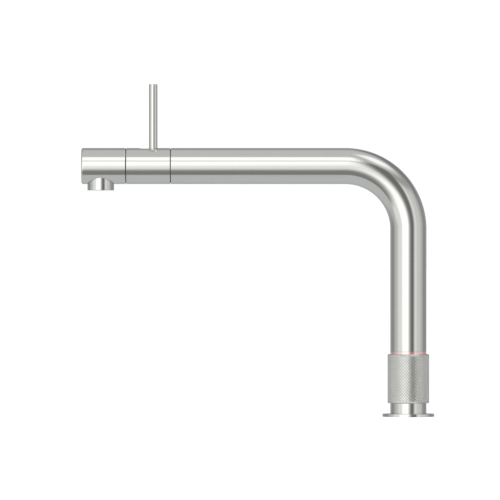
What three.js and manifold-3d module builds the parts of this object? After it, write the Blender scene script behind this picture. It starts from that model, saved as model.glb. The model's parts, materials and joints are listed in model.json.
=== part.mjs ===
// Combined kitchen mixer and boiling water tap.
//
// Millimetres, +Z up. The origin is on the axis of the column, at the underside
// of the base plate. At rest the spout points along -X and the lever stands
// upright. The tap is built from the outside in: each inner piece takes its
// size from the piece around it, less a wall and a clearance.

import * as THREE from 'three';
import { mergeVertices } from 'three/addons/utils/BufferGeometryUtils.js';
import Module from 'manifold-3d';

const wasm = await Module();
wasm.setup();

// ---------------------------------------------------------------------------
// Driving dimensions
// ---------------------------------------------------------------------------

// The round body that the tube, collar, lit ring and control ring share.
const BODY_DIAMETER = 30;
const TUBE_WALL = 2;

// Spout.
const SPOUT_AXIS_HEIGHT = 207.7; // axis of the level run, above the worktop
const SPOUT_REACH = 255; // column axis to outlet axis
const BEND_RADIUS = 52.3; // on the tube's centre line
const HEAD_OVERHANG = 16.3; // outlet axis to the end of the head
const HEAD_SETBACK = 20.9; // outlet axis back to the front seam
const HEAD_END_WALL = 2.4;
const HEAD_EDGE_ROUNDING = 1.5;

// Base.
const BASE_OVERHANG = 6.5; // base plate beyond the body, all round
const BASE_THICKNESS = 2.4;
const BASE_EDGE_ROUNDING = 0.8;
const COLLAR_HEIGHT = 8.7; // what shows between base plate and handle
const COLLAR_HIDDEN_HEIGHT = 3; // what runs on up inside the handle
const COLLAR_WALL = 1.7;
const GASKET_WIDTH = 1.6;
const GASKET_THICKNESS = 1;
const GASKET_INSET = 2.7; // rim of the base plate to the gasket
const SOCKET_WALL = 2; // core around the fixing socket
const SOCKET_DEPTH = 12;
const INLET_LENGTH = 7; // fittings below the ceiling of the socket
const INLET_TAIL_LENGTH = 3.4;
const SPIGOT_LENGTH = 8; // what goes up into a hose

// Knurled handle of the boiling water valve.
const HANDLE_LENGTH = 40.7;
const HANDLE_WALL = 1.7; // knurl included
const HANDLE_GAP = 0.6; // handle around collar and lit ring
const HANDLE_CHAMFER = 0.8;
const HANDLE_RIB = 1.2; // thicker middle of the handle
const HANDLE_RIB_LENGTH = 18;
const HANDLE_RIB_DROP = 10; // top of the handle down to the rib
const HANDLE_TRAVEL = 4; // pushed down before it turns
const KNURL_DEPTH = 0.5;
const KNURL_PITCH = 4; // one diamond, measured upwards: half as coarse again as the real one
const KNURL_STARTS = 32; // diamonds round the handle
const PRESS_RING_WALL = 1.6;
const PRESS_FLANGE_THICKNESS = 2.8;
const MAGNET_THICKNESS = 1.8;
const CLIP_THICKNESS = 0.7;
const CLIP_WIDTH = 1.8;
const CLIP_MOUTH = 20; // degrees either side of the middle of its mouth
const SPRING_WIRE_DIAMETER = 1.2;
const SPRING_TURNS = 4.5;
const SPRING_LENGTH = 11.6;
const KEY_WIDTH = 2;
const KEY_LENGTH = 8;
const KEY_DEPTH = 0.7; // how far the key sits in the column and in the ring

// Lit ring.
const LIT_RING_HEIGHT = 2.2; // what shows above the handle
const LIT_RING_WALL = 1;
const LIT_RING_OVERLAP = 0.7; // what is left inside the handle once it is pushed down
const LAMP_FLANGE_THICKNESS = 3.8;
const LAMP_NECK_WALL = 1.3;
const BOARD_THICKNESS = 1;
const SENSOR_RECESS_DEPTH = 1.6;

// Swivel.
const SWIVEL_LENGTH = 36.2;
const SWIVEL_SLEEVE_WALL = 1.3;
const BUSH_WALL = 0.8;
const BUSH_LENGTH = 6;
const BUSH_INSET = 1.5; // end of the swivel sleeve to a bush
const THRUST_WASHER_THICKNESS = 1;
const POST_WALL = 1.8;
const POST_GROOVE_DEPTH = 0.6;
const POST_OVERRUN = 3; // post above the swivel sleeve
const O_RING_THICKNESS = 1.4;

// Hoses.
const HOSE_WALL = 1.2;
const BOILING_PIPE_DIAMETER = 3.6;
const BOILING_PIPE_WALL = 0.6;
const BOILING_HOSE_WALL = 0.6;
const BOILING_PIPE_BEND = 4;
const HOSE_GRIP = 7; // a hose's overlap on a pipe or nipple
const HOSE_DROP_START = 10; // end of the bend to where the boiling water hose leaves the bundle
const LEAD_DIAMETER = 2;
const LEAD_BEND = 1.5;

// Control ring and lever.
const RING_LENGTH = 36.9; // seam to seam
const SEAM_WIDTH = 0.7;
const RING_BUSH_WALL = 0.7;
const JOURNAL_LENGTH = 6;
const RING_BUSH_LENGTH = 5.4;
const SEAM_RECESS = 0.8; // bush flange below the body's surface
const LEVER_SETBACK = 14.3; // rear seam to lever
const LEVER_DIAMETER = 7;
const LEVER_TOP_HEIGHT = 275.5; // above the worktop
const LEVER_EDGE_ROUNDING = 0.4;
const SLOT_CLEARANCE = 0.5; // lever to the sides of its slot
const SLOT_REAR_CLEARANCE = 1;
const SLOT_LENGTH = 16.7;
const PIVOT_RISE = 1.5; // pivot above the tube's axis
const PIVOT_PIN_DIAMETER = 3;
const HUB_WIDTH = 7.4;
const HUB_LENGTH = 7.4; // along the spout
const HUB_HEIGHT = 7; // above the pivot
const TOE_ARM = 5; // pivot to the toe that moves the spindle
const TOE_DIAMETER = 3.2;
const TOE_WIDTH = 3.4;
const TOE_NECK = 2;
const STUD_DIAMETER = 3.6;
const STUD_LENGTH = 7.4; // half in the hub, half in the lever
const DRUM_DIAMETER = 14.4;
const DRUM_FRONT_WALL = 1.9;
const DRUM_REAR_WALL = 2;
const DRUM_FLOOR = 1.6;
const DRUM_OVERRUN = 0.7; // drum beyond the front of the slot
const CARRIER_WEB_WALL = 3.2;
const SPINDLE_TRAVEL = 2.5;

// Mixing valve and the core of the head.
const SPINDLE_DIAMETER = 6;
const SPINDLE_TONGUE_WIDTH = 6.8;
const SPINDLE_TONGUE_LENGTH = 12.2;
const SPINDLE_HEEL = 3;
const VALVE_LENGTH = 30.4;
const VALVE_FRONT_WALL = 3;
const VALVE_CAP_THICKNESS = 3.6;
const VALVE_BORE_DIAMETER = 15;
const VALVE_SLEEVE_WALL = 1.8;
const VALVE_SLEEVE_LENGTH = 24;
const VALVE_PORT_DIAMETER = 2.4;
const SPOOL_LENGTH = 17.5;
const SPOOL_LAND_LENGTH = 5.8; // full-bore ends of the spool
const SPOOL_WAIST_DEPTH = 1.2;
const CORE_REAR_LENGTH = 4.2; // head core inside the tube
const CORE_REAR_WALL = 5; // before the drum's own bore
const CHANNEL_DIAMETER = 3; // mixed water, past the lever
const CHANNEL_START = 9; // front of the valve housing back to where the channels start
const CHANNEL_ANGLE = 26; // degrees either side of straight down
const BRIDGE_HALF_ANGLE = 40; // degrees either side of straight down

// Outlet.
const NOZZLE_DIAMETER = 22.1;
const NOZZLE_DROP = 5.2; // nozzle below the spout's underside
const NOZZLE_WALL = 1.35;
const NOZZLE_NECK_STEP = 2.15;
const NOZZLE_NECK_WALL = 1.5;
const NOZZLE_NECK_LENGTH = 4.8;
const NOZZLE_SHOULDER_DEPTH = 7.4; // shoulder below the tube's axis
const NOZZLE_EDGE = 0.4;
const NOZZLE_NOTCH_WIDTH = 12;
const NOZZLE_SEAL_THICKNESS = 0.8;
const NOZZLE_SEAL_WIDTH = 1.5;
const AERATOR_HEIGHT = 7;
const AERATOR_RECESS = 0.6;
const AERATOR_WALL = 1.4;
const AERATOR_LIP = 0.8;
const SCREEN_THICKNESS = 1.2;
const SCREEN_HOLES = 8;
const FLOW_HOLES = 4;
const SCREEN_HOLE_DIAMETER = 1.6;
const JET_RECESS = 1;

// Clearances.
const FIT = 0.3; // round pieces one inside the other, and running faces
const SEAT = 0.1; // flat faces that rest on each other
const OVERRUN = 1; // a cutter past what it cuts

// Facets.
const OUTER_SIDES = 40;
const RIM_SIDES = 32; // outlet and the bore of the handle
const BORE_SIDES = 24;
const INNER_SIDES = 16;
const SMALL_SIDES = 10;
const TINY_SIDES = 8;
const ROD_SIDES = 6; // O-rings, small holes
const BEND_STEPS = 12;
const HOSE_BEND_STEPS = 6;
const HOSE_DROP_STEPS = 4;
const SPRING_TURN_STEPS = 8;
const SMALL_BEND_STEPS = 5;
const EDGE_STEPS = 3; // round edges

// ---------------------------------------------------------------------------
// Derived sizes: radii, from the outside in
// ---------------------------------------------------------------------------

const bodyRadius = BODY_DIAMETER / 2;
const tubeBore = bodyRadius - TUBE_WALL;
const insertRadius = tubeBore - FIT; // whatever is fitted inside the tube

const swivelSleeveBore = insertRadius - SWIVEL_SLEEVE_WALL;
const bushRadius = swivelSleeveBore - FIT;
const bushBore = bushRadius - BUSH_WALL;
const postRadius = bushBore - FIT;
const postBore = postRadius - POST_WALL;
const postGrooveRadius = postRadius - POST_GROOVE_DEPTH;
const oRingBore = swivelSleeveBore - FIT - O_RING_THICKNESS;

const boilingPipeRadius = BOILING_PIPE_DIAMETER / 2;
const boilingHoseBore = boilingPipeRadius + FIT;
const boilingHoseRadius = boilingHoseBore + BOILING_HOSE_WALL;
// Three equal hoses touch the bore and each other, with clearance: this is the
// size of the two that feed the mixing valve.
const bundleRadius = postBore - FIT;
const hoseRadius = (Math.sqrt(3) * bundleRadius - FIT) / (2 + Math.sqrt(3));
const hoseBore = hoseRadius - HOSE_WALL;
const nippleRadius = hoseBore - FIT;
const hosePitch = bundleRadius - hoseRadius;
const hoseOut = hosePitch / 2; // towards the outside of the bend
const hoseAside = (hosePitch * Math.sqrt(3)) / 2;
const boilingPitch = bundleRadius - boilingHoseRadius;
const leadRadius = LEAD_DIAMETER / 2;
const leadPitch = bundleRadius - leadRadius;

const handleBore = bodyRadius + HANDLE_GAP;
const handleRadius = handleBore + HANDLE_WALL;
const ribBore = handleBore - HANDLE_RIB;
const hubRadius = ribBore - FIT;
const pressRingBore = postRadius + FIT;
const pressRingRadius = pressRingBore + PRESS_RING_WALL;
const hubBore = pressRingRadius + FIT;
const pressFlangeRadius = hubRadius - FIT;

const baseRadius = bodyRadius + BASE_OVERHANG;
const collarBore = bodyRadius - COLLAR_WALL;
const footRadius = collarBore - FIT;
const socketRadius = footRadius - SOCKET_WALL;

const lampNeckRadius = pressRingBore + LAMP_NECK_WALL;
const lampFlangeRadius = bodyRadius - FIT;
const lampBoardBore = lampNeckRadius + FIT;
const litWallBore = bodyRadius - LIT_RING_WALL;
const sensorBoardBore = lampBoardBore + FIT;
const sensorBoardRadius = litWallBore - FIT;

// ---------------------------------------------------------------------------
// Derived sizes: heights up the column
// ---------------------------------------------------------------------------

const collarTop = BASE_THICKNESS + COLLAR_HEIGHT;
const handleBottom = collarTop;
const handleTop = handleBottom + HANDLE_LENGTH;
const litRingTop = handleTop + LIT_RING_HEIGHT;
const tubeBottom = litRingTop + FIT;
const footTop = collarTop + COLLAR_HIDDEN_HEIGHT;
const ribTop = handleTop - HANDLE_RIB_DROP;
const ribBottom = ribTop - HANDLE_RIB_LENGTH;

const springBottom = footTop + SEAT;
const springTop = springBottom + SPRING_LENGTH;
const pressFlangeBottom = springTop + SEAT;
const pressFlangeTop = pressFlangeBottom + PRESS_FLANGE_THICKNESS;
const litRingBottom = handleTop - HANDLE_TRAVEL - LIT_RING_OVERLAP;
const lampFlangeTop = litRingBottom - FIT;
const lampFlangeBottom = lampFlangeTop - LAMP_FLANGE_THICKNESS;
const lampNeckTop = litRingTop + 2 * FIT;
const pressRingTop = lampFlangeBottom - FIT;
const hubClipTop = pressRingTop - FIT;
const hubClipBottom = hubClipTop - CLIP_THICKNESS;
const magnetTop = hubClipBottom - SEAT;
const magnetBottom = magnetTop - MAGNET_THICKNESS;
const hubTop = magnetBottom - SEAT;
const hubBottom = pressFlangeTop + FIT;

const thrustWasherBottom = lampNeckTop + SEAT;
const thrustWasherTop = thrustWasherBottom + THRUST_WASHER_THICKNESS;
const swivelBottom = thrustWasherTop + SEAT;
const swivelTop = swivelBottom + SWIVEL_LENGTH;
const clipBottom = swivelTop + FIT;
const postTop = swivelTop + POST_OVERRUN;
const oRingHeight = (swivelBottom + swivelTop) / 2;
const keyTop = hubTop;
const keyBottom = keyTop - KEY_LENGTH;

const socketTop = SOCKET_DEPTH;
const inletTop = socketTop - SEAT;
const inletBottom = inletTop - INLET_LENGTH;
const spigotTop = footTop + SPIGOT_LENGTH;
const hoseBottom = footTop + FIT;
const leadHeight = lampFlangeBottom + SENSOR_RECESS_DEPTH / 2 + FIT;

// ---------------------------------------------------------------------------
// Derived sizes: stations along the spout, measured from the column's axis
// ---------------------------------------------------------------------------

const frontSeam = SPOUT_REACH - HEAD_SETBACK;
const rearSeam = frontSeam - RING_LENGTH;
const headEnd = SPOUT_REACH + HEAD_OVERHANG;
const tubeEnd = rearSeam - SEAM_WIDTH / 2;
const ringStart = rearSeam + SEAM_WIDTH / 2;
const ringEnd = frontSeam - SEAM_WIDTH / 2;
const headStart = frontSeam + SEAM_WIDTH / 2;
const leverStation = rearSeam + LEVER_SETBACK;

const leverRadius = LEVER_DIAMETER / 2;
const slotHalfWidth = leverRadius + SLOT_CLEARANCE;
const slotStart = leverStation - leverRadius - SLOT_REAR_CLEARANCE;
const slotEnd = slotStart + SLOT_LENGTH;
const pivotPinRadius = PIVOT_PIN_DIAMETER / 2;
const toeRadius = TOE_DIAMETER / 2;
const studBore = STUD_DIAMETER / 2 + SEAT;
const studBottom = HUB_HEIGHT + (FIT - STUD_LENGTH) / 2; // above the pivot
const studTop = studBottom + STUD_LENGTH;

const coreRearEnd = tubeEnd - CORE_REAR_LENGTH;
const rearJournalEnd = rearSeam + JOURNAL_LENGTH;
const frontJournalStart = frontSeam - JOURNAL_LENGTH;
const coreFrontEnd = headEnd - HEAD_END_WALL - FIT;
const ringBushRadius = tubeBore - FIT;
const ringBushBore = ringBushRadius - RING_BUSH_WALL;
const journalRadius = ringBushBore - FIT;
const seamFlangeRadius = bodyRadius - SEAM_RECESS;
const drumRadius = DRUM_DIAMETER / 2;
const drumBore = drumRadius + FIT;
const drumStart = coreRearEnd + CORE_REAR_WALL + FIT;
const drumEnd = slotEnd + DRUM_OVERRUN;
const pocketStart = drumStart + DRUM_REAR_WALL;
const pocketEnd = drumEnd - DRUM_FRONT_WALL;
const pocketFloor = DRUM_FLOOR - drumRadius;
const channelRadius = CHANNEL_DIAMETER / 2;
const channelPitch = (drumBore + journalRadius) / 2;
const boilingPipeDepth = tubeBore - FIT - FIT - boilingHoseRadius + SEAT;
const grooveRadius = boilingPipeRadius + FIT;

const spindleRadius = SPINDLE_DIAMETER / 2;
const spindleBore = spindleRadius + FIT;
const tongueFloor = pocketFloor + FIT;
const tongueTop = PIVOT_RISE - HUB_LENGTH / 2 - 2 * FIT;
const spindleEnd = leverStation - HUB_LENGTH / 2 - 3 * FIT;
const valveFront = coreRearEnd - FIT;
const valveRear = valveFront - VALVE_LENGTH;
const valveBoreEnd = valveFront - VALVE_FRONT_WALL;
const capFront = valveRear - FIT;
const capRear = capFront - VALVE_CAP_THICKNESS;
const valveBore = VALVE_BORE_DIAMETER / 2;
const valveSleeveRadius = valveBore - FIT;
const valveSleeveBore = valveSleeveRadius - VALVE_SLEEVE_WALL;
const valveSleeveEnd = valveBoreEnd - FIT;
const valveSleeveStart = valveSleeveEnd - VALVE_SLEEVE_LENGTH;
const spoolRadius = valveSleeveBore - FIT;
const spoolEnd = valveSleeveEnd - SPINDLE_TRAVEL;
const spoolStart = spoolEnd - SPOOL_LENGTH;
const spindleStart = spoolEnd + SEAT;
const sealRadius = O_RING_THICKNESS / 2;

const nozzleRadius = NOZZLE_DIAMETER / 2;
const nozzleBottom = -bodyRadius - NOZZLE_DROP;
const nozzleShoulder = -NOZZLE_SHOULDER_DEPTH;
const nozzleBore = nozzleRadius - NOZZLE_WALL;
const neckRadius = nozzleRadius - NOZZLE_NECK_STEP;
const neckBore = neckRadius - NOZZLE_NECK_WALL;
const neckTop = nozzleShoulder + NOZZLE_NECK_LENGTH;
const nozzleSeat = nozzleShoulder + NOZZLE_SEAL_THICKNESS + 2 * SEAT;
const aeratorBottom = nozzleBottom + AERATOR_RECESS;
const aeratorTop = aeratorBottom + AERATOR_HEIGHT;
const aeratorRadius = nozzleBore - FIT;
const aeratorBore = aeratorRadius - AERATOR_WALL;
const screenRadius = aeratorBore - FIT;
const jetBottom = nozzleBottom + JET_RECESS;

// ---------------------------------------------------------------------------
// Materials
// ---------------------------------------------------------------------------

/** A plain material from its colour, roughness and metalness. */
function material(color, roughness, metalness) {
  return new THREE.MeshStandardMaterial({ color, roughness, metalness });
}

const brushedSteel = material(0xc9cbc5, 0.28, 1);
const springSteel = material(0x9c9d9b, 0.35, 1);
const brass = material(0xb99c5c, 0.38, 1);
const blackPlastic = material(0x1d1d1e, 0.55, 0);
const rubber = material(0x141414, 0.8, 0);
const ceramic = material(0xeceae4, 0.3, 0);
const circuitBoard = material(0x1f5a36, 0.5, 0);
const redDiffuser = material(0xd94a48, 0.4, 0);
const magnet = material(0x4c4d50, 0.45, 0.6);
const hosePlastic = material(0xdedcd3, 0.5, 0);
const coldHosePlastic = material(0x4f7fb0, 0.5, 0);
const hotHosePlastic = material(0xb7524a, 0.5, 0);

// ---------------------------------------------------------------------------
// Shape helpers
// ---------------------------------------------------------------------------

/** A body turned about Z from [radius, height] points, counter-clockwise. */
function turned(profile, sides = INNER_SIDES) {
  const points = profile.map(([radius, height]) => new THREE.Vector2(radius, height));
  return new THREE.LatheGeometry(points, sides).rotateX(Math.PI / 2);
}

/** A plain ring about Z. */
function ring(bore, radius, bottom, top, sides = INNER_SIDES) {
  const profile = [[bore, bottom], [radius, bottom], [radius, top], [bore, top], [bore, bottom]];
  return turned(profile, sides);
}

/** A plain cylinder about Z. */
function cylinder(radius, bottom, top, sides = INNER_SIDES) {
  return turned([[0, bottom], [radius, bottom], [radius, top], [0, top]], sides);
}

/** A ring about Z with a round section, such as an O-ring. */
function roundRing(centreRadius, sectionRadius, height) {
  return turned(arc(centreRadius, height, sectionRadius, 0, 360, ROD_SIDES));
}

/** Points on an arc, as [x, y] pairs. */
function arc(x, y, radius, fromDegrees, toDegrees, steps) {
  const points = [];
  for (let i = 0; i <= steps; i += 1) {
    const angle = THREE.MathUtils.degToRad(fromDegrees + ((toDegrees - fromDegrees) * i) / steps);
    points.push([x + radius * Math.cos(angle), y + radius * Math.sin(angle)]);
  }
  return points;
}

/** A box between two corners. */
function block(low, high) {
  const size = high.map((value, i) => value - low[i]);
  const middle = high.map((value, i) => (value + low[i]) / 2);
  return new THREE.BoxGeometry(...size).translate(...middle);
}

/** Turns a body about Z so that its axis points along +X. */
function upright(geometry) {
  return geometry.rotateY(Math.PI / 2);
}

/** A cylinder across the spout, along Y, centred on [x, z]. */
function crossPin(radius, halfLength, x, z, sides = SMALL_SIDES) {
  return cylinder(radius, -halfLength, halfLength, sides).rotateX(Math.PI / 2).translate(x, 0, z);
}

/** A flat plate of [x, z] points, centred on the XZ plane. */
function crossPlate(points, thickness) {
  const shape = new THREE.Shape(points.map(([x, z]) => new THREE.Vector2(x, z)));
  const plate = new THREE.ExtrudeGeometry(shape, { depth: thickness, bevelEnabled: false });
  return plate.rotateX(Math.PI / 2).translate(0, thickness / 2, 0);
}

/** A flat plate of [x, y] points between two heights. */
function levelPlate(points, bottom, top) {
  const shape = new THREE.Shape(points.map(([x, y]) => new THREE.Vector2(x, y)));
  const plate = new THREE.ExtrudeGeometry(shape, { depth: top - bottom, bevelEnabled: false });
  return plate.translate(0, 0, bottom);
}

/** A snap ring about Z with an open mouth, between two heights. */
function snapRing(bore, radius, bottom, top) {
  const outside = arc(0, 0, radius, CLIP_MOUTH, 360 - CLIP_MOUTH, BORE_SIDES);
  const inside = arc(0, 0, bore, 360 - CLIP_MOUTH, CLIP_MOUTH, BORE_SIDES);
  return levelPlate([...outside, ...inside], bottom, top);
}

/** A manifold solid from a closed geometry. */
function solid(geometry) {
  const bare = geometry.clone();
  bare.deleteAttribute('normal');
  bare.deleteAttribute('uv');
  const merged = mergeVertices(bare, 1e-4);
  const index = merged.index.array;
  const triangles = [];
  for (let i = 0; i < index.length; i += 3) {
    const [a, b, c] = [index[i], index[i + 1], index[i + 2]];
    if (a !== b && b !== c && c !== a) triangles.push(a, b, c);
  }
  const vertProperties = merged.attributes.position.array;
  const triVerts = new Uint32Array(triangles);
  return new wasm.Manifold(new wasm.Mesh({ numProp: 3, vertProperties, triVerts }));
}

/** The geometry of a manifold solid. */
function geometryOf(manifold) {
  const mesh = manifold.getMesh();
  const geometry = new THREE.BufferGeometry();
  geometry.setAttribute('position', new THREE.BufferAttribute(mesh.vertProperties, 3));
  geometry.setIndex(new THREE.BufferAttribute(mesh.triVerts, 1));
  return geometry;
}

/** One body from several that overlap. */
function join(first, ...others) {
  return geometryOf(others.reduce((sum, other) => sum.add(solid(other)), solid(first)));
}

/** A body with others cut out of it. */
function cut(first, ...tools) {
  return geometryOf(tools.reduce((rest, tool) => rest.subtract(solid(tool)), solid(first)));
}

/** What two bodies share. */
function common(first, second) {
  return geometryOf(solid(first).intersect(solid(second)));
}

/** A path through stations, each with its own point and direction: a swept body has a ring at each. */
class StationPath extends THREE.Curve {
  constructor(stations) {
    super();
    this.stations = stations;
  }

  get steps() {
    return this.stations.length - 1;
  }

  stationAt(u) {
    return this.stations[Math.round(u * this.steps)];
  }

  getPointAt(u) {
    return this.stationAt(u).point.clone();
  }

  getTangentAt(u) {
    return this.stationAt(u).direction.clone();
  }
}

/** A station from its coordinates and its direction. */
function station(point, direction) {
  return {
    point: new THREE.Vector3(...point),
    direction: new THREE.Vector3(...direction).normalize(),
  };
}

/** A round tube, or a rod where the bore is 0, along a path of stations. */
function swept(stations, radius, bore, sides, boreSides = sides) {
  const corner = ([x, y]) => new THREE.Vector2(x, y);
  const shape = new THREE.Shape(arc(0, 0, radius, 0, 360, sides).slice(0, sides).map(corner));
  if (bore > 0) {
    const hole = arc(0, 0, bore, 0, 360, boreSides).slice(0, boreSides).map(corner);
    shape.holes.push(new THREE.Path(hole));
  }
  const extrudePath = new StationPath(stations);
  return new THREE.ExtrudeGeometry(shape, { extrudePath, steps: extrudePath.steps });
}

/** Stations up the column, round the bend and along the level run, at an offset outwards and aside. */
function spoutStations(bottom, reach, outwards, aside, steps = BEND_STEPS) {
  const bendHeight = SPOUT_AXIS_HEIGHT - BEND_RADIUS;
  const stations = [station([outwards, aside, bottom], [0, 0, 1])];
  for (let i = 0; i <= steps; i += 1) {
    const angle = (Math.PI / 2) * (i / steps);
    const [c, s] = [Math.cos(angle), Math.sin(angle)];
    const x = -BEND_RADIUS + (BEND_RADIUS + outwards) * c;
    const z = bendHeight + (BEND_RADIUS + outwards) * s;
    stations.push(station([x, aside, z], [-s, 0, c]));
  }
  if (reach > 0) stations.push(station([-reach, aside, SPOUT_AXIS_HEIGHT + outwards], [-1, 0, 0]));
  return stations;
}

/** Adds a named mesh to a group. */
function add(group, name, geometry, meshMaterial) {
  const mesh = new THREE.Mesh(geometry, meshMaterial);
  mesh.name = name;
  group.add(mesh);
  return mesh;
}

// ---------------------------------------------------------------------------
// Base: plate, collar, core column and what is fixed to it
// ---------------------------------------------------------------------------

function basePlate() {
  const gasketOuter = baseRadius - GASKET_INSET;
  const edge = BASE_EDGE_ROUNDING;
  const rounding = arc(baseRadius - edge, BASE_THICKNESS - edge, edge, 0, 90, EDGE_STEPS);
  return turned([
    [collarBore, 0],
    [gasketOuter - GASKET_WIDTH - FIT, 0],
    [gasketOuter - GASKET_WIDTH - FIT, GASKET_THICKNESS + SEAT],
    [gasketOuter + FIT, GASKET_THICKNESS + SEAT],
    [gasketOuter + FIT, 0],
    [baseRadius - SEAT, 0],
    [baseRadius, SEAT],
    ...rounding,
    [collarBore, BASE_THICKNESS],
    [collarBore, 0],
  ], OUTER_SIDES);
}

function baseGasket() {
  const outer = baseRadius - GASKET_INSET;
  return ring(outer - GASKET_WIDTH, outer, 0, GASKET_THICKNESS, BORE_SIDES);
}

/** Where the hoses and the lead stand in the column: [x, y, hose radius]. */
const coldPlace = [hoseOut, -hoseAside];
const hotPlace = [hoseOut, hoseAside];
const boilingPlace = [-boilingPitch, 0];
const leadPlace = [leadPitch, 0];

function coreColumn() {
  const oRingHalf = O_RING_THICKNESS / 2 + SEAT;
  const body = turned([
    [0, socketTop],
    [socketRadius, socketTop],
    [socketRadius, 0],
    [footRadius, 0],
    [footRadius, footTop],
    [postRadius, footTop],
    [postRadius, oRingHeight - oRingHalf],
    [oRingBore - SEAT, oRingHeight - oRingHalf],
    [oRingBore - SEAT, oRingHeight + oRingHalf],
    [postRadius, oRingHeight + oRingHalf],
    [postRadius, clipBottom - SEAT],
    [postGrooveRadius, clipBottom - SEAT],
    [postGrooveRadius, clipBottom + CLIP_THICKNESS + SEAT],
    [postRadius, clipBottom + CLIP_THICKNESS + SEAT],
    [postRadius, postTop],
    [postBore, postTop],
    [postBore, footTop],
    [0, footTop],
  ]);
  const spigotHole = (place, radius) =>
    cylinder(radius, socketTop - OVERRUN, footTop + OVERRUN, SMALL_SIDES).translate(...place, 0);
  const keyHalf = KEY_WIDTH / 2 + SEAT;
  const keyway = block(
    [-keyHalf, postRadius - KEY_DEPTH - SEAT, keyBottom - SEAT],
    [keyHalf, postRadius + OVERRUN, keyTop + SEAT],
  );
  const leadHole = upright(cylinder(leadRadius + FIT, 0, postRadius + OVERRUN, SMALL_SIDES))
    .translate(0, 0, leadHeight);
  return cut(
    body,
    spigotHole(coldPlace, nippleRadius + FIT),
    spigotHole(hotPlace, nippleRadius + FIT),
    spigotHole(boilingPlace, boilingPipeRadius + FIT),
    spigotHole(leadPlace, leadRadius + FIT),
    keyway,
    leadHole,
  );
}

/** A turned inlet fitting: a tail and flange below the socket's ceiling, and a spigot up into its hose. */
function inlet(flangeRadius, spigotRadius) {
  const tailRadius = flangeRadius - 2 * FIT;
  const tailTop = inletBottom + INLET_TAIL_LENGTH;
  const bore = spigotRadius / 2;
  return turned([
    [bore, inletBottom],
    [tailRadius, inletBottom],
    [tailRadius, tailTop],
    [flangeRadius, tailTop],
    [flangeRadius, inletTop],
    [spigotRadius, inletTop],
    [spigotRadius, spigotTop],
    [bore, spigotTop],
    [bore, inletBottom],
  ], SMALL_SIDES);
}

function leadConnector() {
  const flange = 2 * leadRadius;
  return turned([
    [0, inletBottom],
    [flange, inletBottom],
    [flange, inletTop],
    [leadRadius, inletTop],
    [leadRadius, footTop],
    [0, footTop],
  ], SMALL_SIDES);
}

function signalLead() {
  const stations = [station([leadPitch, 0, footTop + SEAT], [0, 0, 1])];
  const bendSteps = SMALL_BEND_STEPS;
  for (let i = 0; i <= bendSteps; i += 1) {
    const angle = (Math.PI / 2) * (i / bendSteps);
    const x = leadPitch + LEAD_BEND * (1 - Math.cos(angle));
    const z = leadHeight - LEAD_BEND * (1 - Math.sin(angle));
    stations.push(station([x, 0, z], [Math.sin(angle), 0, Math.cos(angle)]));
  }
  stations.push(station([sensorBoardBore - 2 * FIT, 0, leadHeight], [1, 0, 0]));
  return swept(stations, leadRadius, 0, TINY_SIDES);
}

function slideKey() {
  const inner = postRadius - KEY_DEPTH;
  return block([-KEY_WIDTH / 2, inner, keyBottom], [KEY_WIDTH / 2, inner + 2 * KEY_DEPTH, keyTop]);
}

function lampCarrier() {
  const recessTop = lampFlangeBottom + SENSOR_RECESS_DEPTH;
  const body = turned([
    [pressRingBore, lampFlangeBottom],
    [lampBoardBore, lampFlangeBottom],
    [lampBoardBore, recessTop],
    [sensorBoardRadius + FIT, recessTop],
    [sensorBoardRadius + FIT, lampFlangeBottom],
    [lampFlangeRadius, lampFlangeBottom],
    [lampFlangeRadius, lampFlangeTop],
    [lampNeckRadius, lampFlangeTop],
    [lampNeckRadius, lampNeckTop],
    [pressRingBore, lampNeckTop],
    [pressRingBore, lampFlangeBottom],
  ]);
  const leadNotch = block(
    [postRadius, -leadRadius - FIT, lampFlangeBottom - OVERRUN],
    [lampBoardBore + SEAT, leadRadius + FIT, leadHeight + leadRadius + FIT],
  );
  return cut(body, leadNotch);
}

function lightRing() {
  return turned([
    [litWallBore, litRingBottom],
    [bodyRadius, litRingBottom],
    [bodyRadius, litRingTop],
    [lampBoardBore, litRingTop],
    [lampBoardBore, handleTop],
    [litWallBore, handleTop],
    [litWallBore, litRingBottom],
  ], OUTER_SIDES);
}

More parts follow.
